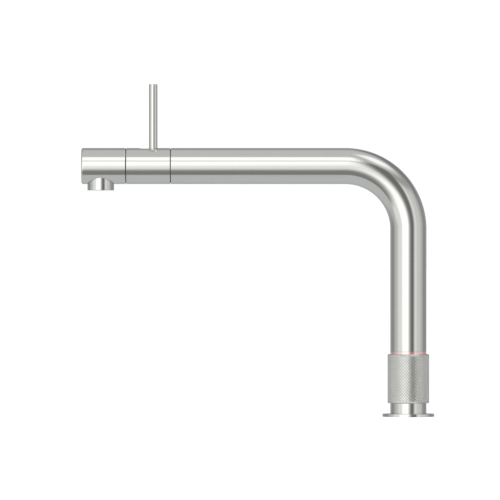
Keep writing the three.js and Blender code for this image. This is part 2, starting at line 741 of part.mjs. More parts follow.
function buildBase() {
  const base = new THREE.Group();
  add(base, 'return_spring', returnSpring(), springSteel);
  add(base, 'base_plate', basePlate(), brushedSteel);
  add(base, 'base_gasket', baseGasket(), rubber);
  const collarBottom = BASE_THICKNESS + SEAT;
  add(base, 'base_collar', ring(collarBore, bodyRadius, collarBottom, footTop, OUTER_SIDES), brushedSteel);
  add(base, 'core_column', coreColumn(), brass);
  add(base, 'cold_inlet', inlet(hoseRadius, nippleRadius), brass).position.set(...coldPlace, 0);
  add(base, 'hot_inlet', inlet(hoseRadius, nippleRadius), brass).position.set(...hotPlace, 0);
  add(base, 'boiling_inlet', inlet(boilingHoseRadius, boilingPipeRadius), brass)
    .position.set(...boilingPlace, 0);
  add(base, 'lead_connector', leadConnector(), blackPlastic).position.set(...leadPlace, 0);
  add(base, 'signal_lead', signalLead(), rubber);
  add(base, 'slide_key', slideKey(), springSteel);
  add(base, 'lamp_carrier', lampCarrier(), brass);
  const sensorTop = leadHeight + BOARD_THICKNESS / 2;
  const sensorBoard = ring(sensorBoardBore, sensorBoardRadius, sensorTop - BOARD_THICKNESS, sensorTop);
  add(base, 'sensor_board', sensorBoard, circuitBoard);
  const lampBottom = lampFlangeTop + SEAT;
  const lampBoard = ring(lampBoardBore, litWallBore - FIT, lampBottom, lampBottom + BOARD_THICKNESS);
  add(base, 'lamp_board', lampBoard, circuitBoard);
  add(base, 'light_ring', lightRing(), redDiffuser);
  const thrustWasher = ring(pressRingBore, insertRadius - FIT, thrustWasherBottom, thrustWasherTop);
  add(base, 'thrust_washer', thrustWasher, blackPlastic);
  const oRingRadius = O_RING_THICKNESS / 2;
  add(base, 'swivel_o_ring', roundRing(oRingBore + oRingRadius, oRingRadius, oRingHeight), rubber);
  const clipBore = postGrooveRadius + FIT;
  const clipRadius = swivelSleeveBore + FIT;
  const clip = snapRing(clipBore, clipRadius, clipBottom, clipBottom + CLIP_THICKNESS);
  add(base, 'retaining_clip', clip, springSteel);
  return base;
}

// ---------------------------------------------------------------------------
// Handle: a keyed slider on a spring, and the knurled sleeve that turns on it
// ---------------------------------------------------------------------------

/** The outside of the handle: peaks and grooves alternate on a grid, which makes rows of diamonds. */
function knurledBar() {
  const columns = 2 * KNURL_STARTS;
  const plainHeight = HANDLE_LENGTH - 2 * HANDLE_CHAMFER;
  const rows = 2 * Math.round(plainHeight / KNURL_PITCH);
  const knurlRootRadius = handleRadius - KNURL_DEPTH;
  const positions = [0, 0, handleBottom];
  const addRow = (radiusAt, height) => {
    for (let column = 0; column < columns; column += 1) {
      const angle = (2 * Math.PI * column) / columns;
      const radius = radiusAt(column);
      positions.push(radius * Math.cos(angle), radius * Math.sin(angle), height);
    }
  };
  const endRadius = handleRadius - HANDLE_CHAMFER;
  addRow(() => endRadius, handleBottom);
  for (let row = 0; row <= rows; row += 1) {
    const height = handleBottom + HANDLE_CHAMFER + (plainHeight * row) / rows;
    const isEnd = row === 0 || row === rows;
    const radiusAt = (column) =>
      (!isEnd && (column + row) % 2 === 0 ? handleRadius : knurlRootRadius);
    addRow(radiusAt, height);
  }
  addRow(() => endRadius, handleTop);
  const topCentre = positions.length / 3;
  positions.push(0, 0, handleTop);

  const index = [];
  const at = (row, column) => 1 + row * columns + (column % columns);
  const lastRow = rows + 2;
  for (let column = 0; column < columns; column += 1) {
    index.push(0, at(0, column + 1), at(0, column));
    index.push(topCentre, at(lastRow, column), at(lastRow, column + 1));
    for (let row = 0; row < lastRow; row += 1) {
      const corners = [at(row, column), at(row, column + 1), at(row + 1, column + 1), at(row + 1, column)];
      // The edge across each cell joins its two grooves, never its two peaks.
      const peakFirst = (column + row - 1) % 2 === 0;
      const [a, b, c, d] = peakFirst ? corners : [corners[1], corners[2], corners[3], corners[0]];
      index.push(a, b, d, b, c, d);
    }
  }
  const geometry = new THREE.BufferGeometry();
  geometry.setAttribute('position', new THREE.BufferAttribute(new Float32Array(positions), 3));
  geometry.setIndex(index);
  return geometry;
}

function knurledSleeve() {
  const bore = turned([
    [0, handleBottom - OVERRUN],
    [handleBore, handleBottom - OVERRUN],
    [handleBore, ribBottom],
    [ribBore, ribBottom + HANDLE_RIB],
    [ribBore, ribTop - HANDLE_RIB],
    [handleBore, ribTop],
    [handleBore, handleTop + OVERRUN],
    [0, handleTop + OVERRUN],
  ], RIM_SIDES);
  return cut(knurledBar(), bore);
}

function pressRing() {
  const body = turned([
    [pressRingBore, pressFlangeBottom],
    [pressFlangeRadius, pressFlangeBottom],
    [pressFlangeRadius, pressFlangeTop],
    [pressRingRadius, pressFlangeTop],
    [pressRingRadius, hubClipBottom - SEAT],
    [pressRingRadius - POST_GROOVE_DEPTH, hubClipBottom - SEAT],
    [pressRingRadius - POST_GROOVE_DEPTH, hubClipTop + SEAT],
    [pressRingRadius, hubClipTop + SEAT],
    [pressRingRadius, pressRingTop],
    [pressRingBore, pressRingTop],
    [pressRingBore, pressFlangeBottom],
  ]);
  const keyHalf = KEY_WIDTH / 2 + FIT;
  const keyway = block(
    [-keyHalf, 0, pressFlangeBottom - OVERRUN],
    [keyHalf, postRadius + KEY_DEPTH + FIT, pressRingTop + OVERRUN],
  );
  return cut(body, keyway);
}

function returnSpring() {
  const wire = SPRING_WIRE_DIAMETER / 2;
  const coilRadius = postRadius + 2 * FIT + 2 * wire;
  const low = springBottom + wire;
  const high = springTop - wire;
  const stations = [];
  const steps = Math.round(SPRING_TURNS * SPRING_TURN_STEPS);
  for (let i = 0; i <= steps; i += 1) {
    const angle = (2 * Math.PI * SPRING_TURNS * i) / steps;
    const [c, s] = [Math.cos(angle), Math.sin(angle)];
    const rise = (high - low) / (2 * Math.PI * SPRING_TURNS * coilRadius);
    stations.push(station([coilRadius * c, coilRadius * s, low + ((high - low) * i) / steps], [-s, c, rise]));
  }
  return swept(stations, wire, 0, ROD_SIDES);
}

function buildHandle() {
  const handle = new THREE.Group();
  add(handle, 'press_ring', pressRing(), blackPlastic);
  const clipBore = pressRingRadius - POST_GROOVE_DEPTH + FIT;
  add(handle, 'hub_clip', snapRing(clipBore, clipBore + CLIP_WIDTH, hubClipBottom, hubClipTop), springSteel);
  add(handle, 'handle_hub', ring(hubBore, hubRadius, hubBottom, hubTop), blackPlastic);
  add(handle, 'magnet_ring', ring(hubBore, hubRadius - SEAT, magnetBottom, magnetTop), magnet);
  add(handle, 'knurled_sleeve', knurledSleeve(), brushedSteel);
  return handle;
}

// ---------------------------------------------------------------------------
// Spout: the bent tube, its swivel, and the hoses in it
// ---------------------------------------------------------------------------

/** The boiling water hose leaves the bundle past the bend and drops to the pipe at the bottom of the tube. */
function boilingHose() {
  const stations = spoutStations(hoseBottom, 0, -boilingPitch, 0, HOSE_BEND_STEPS);
  const pipeEntry = capRear - SPIGOT_LENGTH;
  const dropStart = BEND_RADIUS + HOSE_DROP_START;
  const dropSteps = HOSE_DROP_STEPS;
  for (let i = 0; i <= dropSteps; i += 1) {
    const t = i / dropSteps;
    const ease = (1 - Math.cos(Math.PI * t)) / 2;
    const slope = (Math.PI * Math.sin(Math.PI * t)) / 2;
    const length = pipeEntry - dropStart;
    const depth = boilingPitch + (boilingPipeDepth - boilingPitch) * ease;
    const fall = ((boilingPipeDepth - boilingPitch) * slope) / length;
    stations.push(station([-dropStart - length * t, 0, SPOUT_AXIS_HEIGHT - depth], [-1, 0, -fall]));
  }
  const end = pipeEntry + HOSE_GRIP;
  stations.push(station([-end, 0, SPOUT_AXIS_HEIGHT - boilingPipeDepth], [-1, 0, 0]));
  return swept(stations, boilingHoseRadius, boilingHoseBore, TINY_SIDES);
}

function feedHose(aside) {
  const stations = spoutStations(hoseBottom, capRear - SEAT, hoseOut, aside, HOSE_BEND_STEPS);
  return swept(stations, hoseRadius, hoseBore, SMALL_SIDES, TINY_SIDES);
}

function buildSpout() {
  const spout = new THREE.Group();
  const tubePath = spoutStations(tubeBottom, tubeEnd, 0, 0);
  add(spout, 'spout_tube', swept(tubePath, bodyRadius, tubeBore, OUTER_SIDES, BORE_SIDES), brushedSteel);
  add(spout, 'swivel_sleeve', ring(swivelSleeveBore, insertRadius, swivelBottom, swivelTop), brass);
  const lowBush = swivelBottom + BUSH_INSET;
  const highBush = swivelTop - BUSH_INSET - BUSH_LENGTH;
  add(spout, 'lower_swivel_bush', ring(bushBore, bushRadius, lowBush, lowBush + BUSH_LENGTH), blackPlastic);
  add(spout, 'upper_swivel_bush', ring(bushBore, bushRadius, highBush, highBush + BUSH_LENGTH), blackPlastic);
  add(spout, 'cold_hose', feedHose(-hoseAside), coldHosePlastic);
  add(spout, 'hot_hose', feedHose(hoseAside), hotHosePlastic);
  add(spout, 'boiling_hose', boilingHose(), hosePlastic);
  return spout;
}

// ---------------------------------------------------------------------------
// Head. Its group lies along the spout: X is up, Y is across, Z is the station.
// ---------------------------------------------------------------------------

/** The groove at the bottom of an insert that lets the boiling water pipe pass. */
function pipeGroove(start, end) {
  const round = cylinder(grooveRadius, start, end, SMALL_SIDES).translate(-boilingPipeDepth, 0, 0);
  const open = block([-bodyRadius, -grooveRadius, start], [-boilingPipeDepth, grooveRadius, end]);
  return join(round, open);
}

/** One of the two bores that carry mixed water past the lever. */
function mixedChannel(side, start, end) {
  const angle = THREE.MathUtils.degToRad(CHANNEL_ANGLE);
  const up = -channelPitch * Math.cos(angle);
  const across = side * channelPitch * Math.sin(angle);
  return cylinder(channelRadius, start, end, TINY_SIDES).translate(up, across, 0);
}

function valveCap() {
  const plate = cylinder(insertRadius, capRear, capFront);
  const nipple = (side) => cylinder(nippleRadius, capRear - HOSE_GRIP, capRear + OVERRUN, SMALL_SIDES)
    .translate(hoseOut, side * hoseAside, 0);
  const bore = (side) => cylinder(nippleRadius / 2, capRear - SPIGOT_LENGTH, capFront + OVERRUN, TINY_SIDES)
    .translate(hoseOut, side * hoseAside, 0);
  return cut(
    join(plate, nipple(-1), nipple(1)),
    bore(-1),
    bore(1),
    pipeGroove(capRear - OVERRUN, capFront + OVERRUN),
  );
}

function valveHousing() {
  const sealHalf = sealRadius + SEAT;
  const sealPlace = valveFront - VALVE_FRONT_WALL / 2;
  const sealGroove = spindleRadius + 2 * sealRadius + SEAT;
  const body = turned([
    [valveBore, valveRear],
    [insertRadius, valveRear],
    [insertRadius, valveFront],
    [spindleBore, valveFront],
    [spindleBore, sealPlace + sealHalf],
    [sealGroove, sealPlace + sealHalf],
    [sealGroove, sealPlace - sealHalf],
    [spindleBore, sealPlace - sealHalf],
    [spindleBore, valveBoreEnd],
    [valveBore, valveBoreEnd],
    [valveBore, valveRear],
  ]);
  return cut(
    body,
    pipeGroove(valveRear - OVERRUN, valveFront + OVERRUN),
    mixedChannel(-1, valveFront - CHANNEL_START, valveFront + OVERRUN),
    mixedChannel(1, valveFront - CHANNEL_START, valveFront + OVERRUN),
  );
}

function valveSleeve() {
  const body = ring(valveSleeveBore, valveSleeveRadius, valveSleeveStart, valveSleeveEnd);
  const middle = (valveSleeveStart + valveSleeveEnd) / 2;
  const ports = crossPin(VALVE_PORT_DIAMETER / 2, valveSleeveRadius + OVERRUN, 0, middle, TINY_SIDES);
  return cut(body, ports);
}

function headCore() {
  const rear = turned([
    [0, coreRearEnd],
    [insertRadius, coreRearEnd],
    [insertRadius, tubeEnd - SEAT],
    [journalRadius, tubeEnd - SEAT],
    [journalRadius, rearJournalEnd],
    [drumBore, rearJournalEnd],
    [drumBore, coreRearEnd + CORE_REAR_WALL],
    [0, coreRearEnd + CORE_REAR_WALL],
  ]);
  const front = turned([
    [0, frontJournalStart],
    [journalRadius, frontJournalStart],
    [journalRadius, headStart + SEAT],
    [insertRadius, headStart + SEAT],
    [insertRadius, coreFrontEnd - HEAD_EDGE_ROUNDING],
    [insertRadius - HEAD_EDGE_ROUNDING, coreFrontEnd],
    [0, coreFrontEnd],
  ]);
  const [from, to] = [180 - BRIDGE_HALF_ANGLE, 180 + BRIDGE_HALF_ANGLE];
  const outerArc = arc(0, 0, journalRadius, from, to, TINY_SIDES);
  const innerArc = arc(0, 0, drumBore, to, from, TINY_SIDES);
  const bridgeEnd = frontJournalStart + OVERRUN;
  const bridge = levelPlate([...outerArc, ...innerArc], rearJournalEnd - OVERRUN, bridgeEnd);
  const spindleHoleEnd = coreRearEnd + CORE_REAR_WALL + OVERRUN;
  const spindleHole = cylinder(spindleBore, coreRearEnd - OVERRUN, spindleHoleEnd, SMALL_SIDES);
  const nozzleRoom = upright(cylinder(nozzleRadius + FIT, -bodyRadius, nozzleSeat, BORE_SIDES))
    .translate(0, 0, SPOUT_REACH);
  const neckRoom = upright(cylinder(neckRadius + FIT, -bodyRadius, neckTop + FIT))
    .translate(0, 0, SPOUT_REACH);
  return cut(
    join(rear, front, bridge),
    spindleHole,
    pipeGroove(coreRearEnd - OVERRUN, SPOUT_REACH),
    mixedChannel(-1, coreRearEnd - OVERRUN, SPOUT_REACH),
    mixedChannel(1, coreRearEnd - OVERRUN, SPOUT_REACH),
    nozzleRoom,
    neckRoom,
  );
}

/** A flanged bush for one end of the control ring; the flange fills the seam, below the surface. */
function ringBush(seam, inwards) {
  const flangeHalf = SEAM_WIDTH / 2 - 2 * SEAT;
  const [near, far] = [seam - inwards * flangeHalf, seam + inwards * flangeHalf];
  const end = seam + inwards * RING_BUSH_LENGTH;
  const profile = [
    [ringBushBore, near],
    [seamFlangeRadius, near],
    [seamFlangeRadius, far],
    [ringBushRadius, far],
    [ringBushRadius, end],
    [ringBushBore, end],
    [ringBushBore, near],
  ];
  return turned(inwards > 0 ? profile : profile.reverse());
}

function headShell() {
  const edge = HEAD_EDGE_ROUNDING;
  const outside = turned([
    [0, headStart],
    [bodyRadius, headStart],
    ...arc(bodyRadius - edge, headEnd - edge, edge, 0, 90, EDGE_STEPS),
    [0, headEnd],
  ], OUTER_SIDES);
  const inside = turned([
    [0, headStart - OVERRUN],
    [tubeBore, headStart - OVERRUN],
    [tubeBore, headEnd - HEAD_END_WALL - edge],
    [tubeBore - edge, headEnd - HEAD_END_WALL],
    [0, headEnd - HEAD_END_WALL],
  ], BORE_SIDES);
  const nozzleHole = upright(cylinder(nozzleRadius + FIT, -bodyRadius - OVERRUN, 0, RIM_SIDES))
    .translate(0, 0, SPOUT_REACH);
  return cut(outside, inside, nozzleHole);
}

function outletNozzle() {
  const body = upright(turned([
    [nozzleBore, nozzleBottom],
    [nozzleRadius - NOZZLE_EDGE, nozzleBottom],
    [nozzleRadius, nozzleBottom + NOZZLE_EDGE],
    [nozzleRadius, nozzleShoulder],
    [neckRadius, nozzleShoulder],
    [neckRadius, neckTop],
    [neckBore, neckTop],
    [neckBore, aeratorTop + FIT],
    [nozzleBore, aeratorTop + FIT],
    [nozzleBore, nozzleBottom],
  ], RIM_SIDES));
  const notchFloor = -boilingPipeDepth - grooveRadius;
  const half = NOZZLE_NOTCH_WIDTH / 2;
  const notch = block([notchFloor, -half, -nozzleRadius - OVERRUN], [neckTop + OVERRUN, half, 0]);
  return cut(body, notch);
}

function boilingPipe() {
  const start = capRear - SPIGOT_LENGTH;
  const bend = BOILING_PIPE_BEND;
  const stations = [station([-boilingPipeDepth, 0, start], [0, 0, 1])];
  const bendSteps = SMALL_BEND_STEPS;
  for (let i = 0; i <= bendSteps; i += 1) {
    const angle = (Math.PI / 2) * (i / bendSteps);
    const up = -boilingPipeDepth - bend * (1 - Math.cos(angle));
    const along = SPOUT_REACH - bend * (1 - Math.sin(angle));
    stations.push(station([up, 0, along], [-Math.sin(angle), 0, Math.cos(angle)]));
  }
  stations.push(station([jetBottom, 0, SPOUT_REACH], [-1, 0, 0]));
  return swept(stations, boilingPipeRadius, boilingPipeRadius - BOILING_PIPE_WALL, SMALL_SIDES, TINY_SIDES);
}

function aeratorCup() {
  return upright(turned([
    [aeratorBore - AERATOR_LIP, aeratorBottom],
    [aeratorRadius, aeratorBottom],
    [aeratorRadius, aeratorTop],
    [aeratorBore, aeratorTop],
    [aeratorBore, aeratorBottom + AERATOR_LIP],
    [aeratorBore - AERATOR_LIP, aeratorBottom + AERATOR_LIP],
    [aeratorBore - AERATOR_LIP, aeratorBottom],
  ]));
}

/** A disc round the boiling water jet, with a circle of holes. */
function aeratorDisc(bottom, holes, holeRadius) {
  const bore = boilingPipeRadius + FIT;
  const disc = ring(bore, screenRadius, bottom, bottom + SCREEN_THICKNESS);
  const pitch = (bore + screenRadius) / 2;
  const drills = [];
  for (let i = 0; i < holes; i += 1) {
    const angle = (2 * Math.PI * i) / holes;
    const drill = cylinder(holeRadius, bottom - OVERRUN, bottom + SCREEN_THICKNESS + OVERRUN, ROD_SIDES);
    drills.push(drill.translate(pitch * Math.cos(angle), pitch * Math.sin(angle), 0));
  }
  return upright(cut(disc, ...drills));
}

function buildHead() {
  const head = new THREE.Group();
  head.position.set(0, 0, SPOUT_AXIS_HEIGHT);
  head.rotation.y = -Math.PI / 2;

  add(head, 'valve_cap', valveCap(), brass);
  add(head, 'valve_housing', valveHousing(), blackPlastic);
  add(head, 'valve_sleeve', valveSleeve(), ceramic);
  const sealPlace = valveFront - VALVE_FRONT_WALL / 2;
  add(head, 'spindle_seal', roundRing(spindleRadius + SEAT + sealRadius, sealRadius, sealPlace), rubber);
  add(head, 'head_core', headCore(), brass);
  add(head, 'rear_ring_bush', ringBush(rearSeam, 1), blackPlastic);
  add(head, 'front_ring_bush', ringBush(frontSeam, -1), blackPlastic);
  add(head, 'head_shell', headShell(), brushedSteel);
  add(head, 'boiling_pipe', boilingPipe(), springSteel);

  const outlet = new THREE.Group();
  outlet.position.set(0, 0, SPOUT_REACH);
  add(outlet, 'outlet_nozzle', outletNozzle(), brushedSteel);
  const sealOuter = neckRadius + FIT + NOZZLE_SEAL_WIDTH;
  const seal = ring(neckRadius + FIT, sealOuter, nozzleShoulder + SEAT, nozzleSeat - SEAT);
  add(outlet, 'nozzle_seal', upright(seal), rubber);
  add(outlet, 'aerator_cup', aeratorCup(), blackPlastic);
  const screenBottom = aeratorBottom + AERATOR_LIP + SEAT;
  const holeRadius = SCREEN_HOLE_DIAMETER / 2;
  add(outlet, 'aerator_screen', aeratorDisc(screenBottom, SCREEN_HOLES, holeRadius), blackPlastic);
  const flowBottom = aeratorTop - SCREEN_THICKNESS - 2 * FIT;
  add(outlet, 'flow_disc', aeratorDisc(flowBottom, FLOW_HOLES, holeRadius), blackPlastic);
  head.add(outlet);

  head.add(buildControl());
  return head;
}

// ---------------------------------------------------------------------------
// Control ring, lever and spindle, in the head's own frame
// ---------------------------------------------------------------------------

function controlRing() {
  const body = ring(tubeBore, bodyRadius, ringStart, ringEnd, OUTER_SIDES);
  // Drawn as [across, along], then turned so that its thickness runs upwards.
  const outline = [
    ...arc(0, slotStart + slotHalfWidth, slotHalfWidth, 180, 360, TINY_SIDES),
    ...arc(0, slotEnd - slotHalfWidth, slotHalfWidth, 0, 180, TINY_SIDES),
  ];
  const slot = levelPlate(outline, 0, bodyRadius + OVERRUN).rotateX(Math.PI / 2).rotateZ(Math.PI / 2);
  return cut(body, slot);
}

function leverCarrier() {
  const drum = cylinder(drumRadius, drumStart, drumEnd);
  const half = slotHalfWidth + CARRIER_WEB_WALL;
  const web = common(
    block([0, -half, rearJournalEnd + FIT], [bodyRadius, half, drumEnd]),
    cylinder(insertRadius, rearJournalEnd, drumEnd + OVERRUN),
  );
  const pocket = block(
    [pocketFloor, -slotHalfWidth, pocketStart],
    [bodyRadius, slotHalfWidth, pocketEnd],
  );
  const spindleHole = cylinder(spindleBore, drumStart - OVERRUN, pocketStart + OVERRUN, SMALL_SIDES);
  const pinHole = crossPin(pivotPinRadius + SEAT, bodyRadius, PIVOT_RISE, leverStation);
  return cut(join(drum, web), pocket, spindleHole, pinHole);
}

function leverHub() {
  const half = HUB_LENGTH / 2;
  const boss = crossPlate([
    ...arc(0, 0, half, 90, 270, TINY_SIDES),
    [HUB_HEIGHT, -half],
    [HUB_HEIGHT, half],
  ], HUB_WIDTH);
  const neck = block([-TOE_ARM, -TOE_WIDTH / 2, -TOE_NECK / 2], [0, TOE_WIDTH / 2, TOE_NECK / 2]);
  const toe = crossPin(toeRadius, TOE_WIDTH / 2, -TOE_ARM, 0);
  const pinHole = crossPin(pivotPinRadius + FIT, HUB_WIDTH, 0, 0);
  const studHole = upright(cylinder(studBore, studBottom - FIT, HUB_HEIGHT + OVERRUN, SMALL_SIDES));
  return cut(join(boss, neck, toe), pinHole, studHole);
}

function leverRod() {
  const bottom = HUB_HEIGHT + FIT;
  const top = LEVER_TOP_HEIGHT - SPOUT_AXIS_HEIGHT - PIVOT_RISE;
  const edge = LEVER_EDGE_ROUNDING;
  return upright(turned([
    [studBore, bottom],
    [leverRadius, bottom],
    ...arc(leverRadius - edge, top - edge, edge, 0, 90, EDGE_STEPS),
    [0, top],
    [0, studTop + FIT],
    [studBore, studTop + FIT],
    [studBore, bottom],
  ]));
}

function valveSpindle() {
  const rod = cylinder(spindleRadius, spindleStart, spindleEnd);
  const half = SPINDLE_TONGUE_WIDTH / 2;
  const heelStart = spindleEnd - SPINDLE_HEEL;
  const heel = block([tongueFloor, -half, heelStart], [0, half, spindleEnd]);
  const tongue = block([tongueFloor, -half, heelStart], [tongueTop, half, heelStart + SPINDLE_TONGUE_LENGTH]);
  const slotHalfLength = toeRadius + FIT;
  const slotHalf = TOE_WIDTH / 2 + FIT;
  const toeSlot = block(
    [-bodyRadius, -slotHalf, leverStation - slotHalfLength],
    [tongueTop + OVERRUN, slotHalf, leverStation + slotHalfLength],
  );
  return cut(join(rod, heel, tongue), toeSlot);
}

function valveSpool() {
  const waistRadius = spoolRadius - SPOOL_WAIST_DEPTH;
  return turned([
    [0, spoolStart],
    [spoolRadius, spoolStart],
    [spoolRadius, spoolStart + SPOOL_LAND_LENGTH],
    [waistRadius, spoolStart + SPOOL_LAND_LENGTH],
    [waistRadius, spoolEnd - SPOOL_LAND_LENGTH],
    [spoolRadius, spoolEnd - SPOOL_LAND_LENGTH],
    [spoolRadius, spoolEnd],
    [0, spoolEnd],
  ]);
}

function buildControl() {
  const control = new THREE.Group();
  add(control, 'control_ring', controlRing(), brushedSteel);
  add(control, 'lever_carrier', leverCarrier(), brass);
  const pinHalf = drumRadius - FIT;
  add(control, 'lever_pivot_pin', crossPin(pivotPinRadius, pinHalf, PIVOT_RISE, leverStation), springSteel);
  add(control, 'valve_spindle', valveSpindle(), brass);
  add(control, 'valve_spool', valveSpool(), ceramic);

  const lever = new THREE.Group();
  lever.position.set(PIVOT_RISE, 0, leverStation);
  add(lever, 'lever_hub', leverHub(), brass);
  const stud = cylinder(STUD_DIAMETER / 2, studBottom, studTop, SMALL_SIDES);
  add(lever, 'lever_stud', upright(stud), springSteel);
  add(lever, 'lever_rod', leverRod(), brushedSteel);
  control.add(lever);
  return control;
}

// ---------------------------------------------------------------------------
// The tap
// ---------------------------------------------------------------------------

const tap = new THREE.Group();
tap.add(buildBase(), buildHandle(), buildSpout(), buildHead());

export default tap;
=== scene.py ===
"""Looks of a combined mixer and boiling water tap: its fine shapes, its finishes and its studio.

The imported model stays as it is, at rest. Each visible piece, and each that gives way inside, gets a smooth
mesh of its own that stands for its solid, and every other solid gets its finish. Lengths are in metres, with
+Z up and the spout pointing along -X.
"""

import json
import logging
import math
from dataclasses import dataclass, replace
from enum import Enum
from typing import Callable, Sequence

import bpy
from mathutils import Matrix, Vector


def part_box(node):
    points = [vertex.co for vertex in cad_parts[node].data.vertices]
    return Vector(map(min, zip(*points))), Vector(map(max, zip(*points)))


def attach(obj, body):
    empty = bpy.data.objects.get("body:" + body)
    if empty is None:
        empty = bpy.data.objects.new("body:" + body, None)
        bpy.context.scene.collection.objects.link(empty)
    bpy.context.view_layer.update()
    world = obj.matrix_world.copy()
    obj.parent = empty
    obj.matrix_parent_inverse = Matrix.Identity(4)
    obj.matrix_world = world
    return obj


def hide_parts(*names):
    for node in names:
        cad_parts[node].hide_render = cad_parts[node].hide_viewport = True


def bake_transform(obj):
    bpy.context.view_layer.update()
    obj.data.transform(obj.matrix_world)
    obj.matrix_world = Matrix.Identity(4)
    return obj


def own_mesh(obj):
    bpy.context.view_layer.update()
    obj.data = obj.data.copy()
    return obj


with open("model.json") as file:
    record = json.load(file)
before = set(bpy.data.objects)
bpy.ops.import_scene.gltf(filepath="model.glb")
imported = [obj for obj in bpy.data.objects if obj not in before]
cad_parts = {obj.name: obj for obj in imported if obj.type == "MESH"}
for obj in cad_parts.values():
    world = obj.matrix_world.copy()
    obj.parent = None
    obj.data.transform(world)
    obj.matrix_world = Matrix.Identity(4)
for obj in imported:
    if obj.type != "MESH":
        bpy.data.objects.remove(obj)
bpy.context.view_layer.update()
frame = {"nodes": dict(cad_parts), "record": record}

LOG = logging.getLogger("tap")
MM = 0.001
Point = tuple[float, float]
Mask = Callable[[Vector], bool]
Straighten = Callable[[Vector], Vector]
DEPTH = "groove_depth"
NOISE_MIDDLE: Point = (0.3, 0.7)


# ---------------------------------------------------------------------------
# Shader nodes
# ---------------------------------------------------------------------------


class Wire:
    """An output socket that arithmetic can be written on, as in 1 - mask * 0.5."""

    def __init__(self, bench: "Bench", socket: bpy.types.NodeSocket | None) -> None:
        """Keeps the socket.

        Args:
            bench: the node tree that the socket is in.
            socket: the output that this wire starts from, or None on a node with no output.
        """
        self.bench = bench
        self.socket = socket

    def _math(self, operation: str, first: "Wire | float", second: "Wire | float") -> "Wire":
        """Adds a Math node.

        Args:
            operation: the node's operation.
            first: its first value.
            second: its second value.

        Returns:
            The node's result.
        """
        return self.bench.node("ShaderNodeMath", {"operation": operation}, {0: first, 1: second})

    def __add__(self, other: "Wire | float") -> "Wire":
        """Sum."""
        return self._math("ADD", self, other)

    def __radd__(self, other: float) -> "Wire":
        """Sum, number first."""
        return self._math("ADD", other, self)

    def __sub__(self, other: "Wire | float") -> "Wire":
        """Difference."""
        return self._math("SUBTRACT", self, other)

    def __rsub__(self, other: float) -> "Wire":
        """Difference, number first."""
        return self._math("SUBTRACT", other, self)

    def __mul__(self, other: "Wire | float") -> "Wire":
        """Product."""
        return self._math("MULTIPLY", self, other)

    def __rmul__(self, other: float) -> "Wire":
        """Product, number first."""
        return self._math("MULTIPLY", other, self)

    def __truediv__(self, other: "Wire | float") -> "Wire":
        """Quotient."""
        return self._math("DIVIDE", self, other)

    def __neg__(self) -> "Wire":
        """Opposite."""
        return self._math("MULTIPLY", self, -1.0)

    def between(self, low: "Wire | float", high: "Wire | float") -> "Wire":
        """A smooth rise from 0 at low to 1 at high.

        Args:
            low: where the rise starts.
            high: where it ends.

        Returns:
            The rise.
        """
        settings = {"interpolation_type": "SMOOTHSTEP", "clamp": True}
        values = {"Value": self, "From Min": low, "From Max": high}
        return self.bench.node("ShaderNodeMapRange", settings, values)


class Bench:
    """A node tree, and the one method that adds nodes to it."""

    def __init__(self, tree: bpy.types.NodeTree) -> None:
        """Empties the tree.

        Args:
            tree: the node tree to fill.
        """
        self.tree = tree
        tree.nodes.clear()

    def node(
        self,
        kind: str,
        settings: dict[str, object] | None = None,
        values: dict[str | int, object] | None = None,
        output: str | int = 0,
    ) -> Wire:
        """Adds a node, sets it and fills its sockets.

        Args:
            kind: the node's type.
            settings: the node's own properties, which are set first.
            values: what goes into its sockets, by name or number: a wire, a number, a colour or a vector.
            output: the socket that the wire starts from.

        Returns:
            A wire from that output.
        """
        made = self.tree.nodes.new(kind)
        for name, value in (settings or {}).items():
            setattr(made, name, value)
        for key, value in (values or {}).items():
            socket = made.inputs[key]
            if isinstance(value, Wire):
                self.tree.links.new(value.socket, socket)
            else:
                socket.default_value = value
        return Wire(self, made.outputs[output] if made.outputs else None)

    def vector(self, x: Wire | float, y: Wire | float, z: Wire | float) -> Wire:
        """A vector from its three parts."""
        return self.node("ShaderNodeCombineXYZ", None, {0: x, 1: y, 2: z})

    def parts(self, vector: Wire) -> list[Wire]:
        """The three parts of a vector."""
        split = self.node("ShaderNodeSeparateXYZ", None, {0: vector})
        return [Wire(self, socket) for socket in split.socket.node.outputs]

    def stretched(self, vector: Wire, scale: Sequence[float]) -> Wire:
        """A vector with each part multiplied by its own number."""
        return self.node("ShaderNodeVectorMath", {"operation": "MULTIPLY"}, {0: vector, 1: scale})

    def noise(self, vector: Wire, scale: float, detail: float = 2.0, roughness: float = 0.5) -> Wire:
        """Soft noise around 0.5.

        Args:
            vector: where it is read.
            scale: features in a metre.
            detail: octaves beyond the first.
            roughness: how strong the finer octaves are.

        Returns:
            The noise.
        """
        values = {"Vector": vector, "Scale": scale, "Detail": detail, "Roughness": roughness}
        return self.node("ShaderNodeTexNoise", {"noise_dimensions": "3D"}, values, "Fac")

    def tint(self, factor: Wire, dark: "Color", light: "Color") -> Wire:
        """A colour between two."""
        values = {0: factor, 6: dark.rgba, 7: light.rgba}
        return self.node("ShaderNodeMix", {"data_type": "RGBA"}, values, 2)

    def shaded(self, factor: Wire, color: "Color", contrast: float) -> Wire:
        """A colour, darker and lighter by its contrast."""
        return self.tint(factor, color.times(1 - contrast), color.times(1 + contrast))

    def bump(self, height: Wire, strength: float, distance: float) -> Wire:
        """A normal tilted by a height."""
        values = {"Strength": strength, "Distance": distance, "Height": height}
        return self.node("ShaderNodeBump", None, values)


@dataclass(frozen=True)
class Color:
    """A linear colour."""

    red: float
    green: float
    blue: float

    @property
    def rgba(self) -> tuple[float, float, float, float]:
        """The colour with full alpha."""
        return (self.red, self.green, self.blue, 1.0)

    def times(self, factor: float) -> "Color":
        """The same colour, lighter or darker."""
        return Color(self.red * factor, self.green * factor, self.blue * factor)


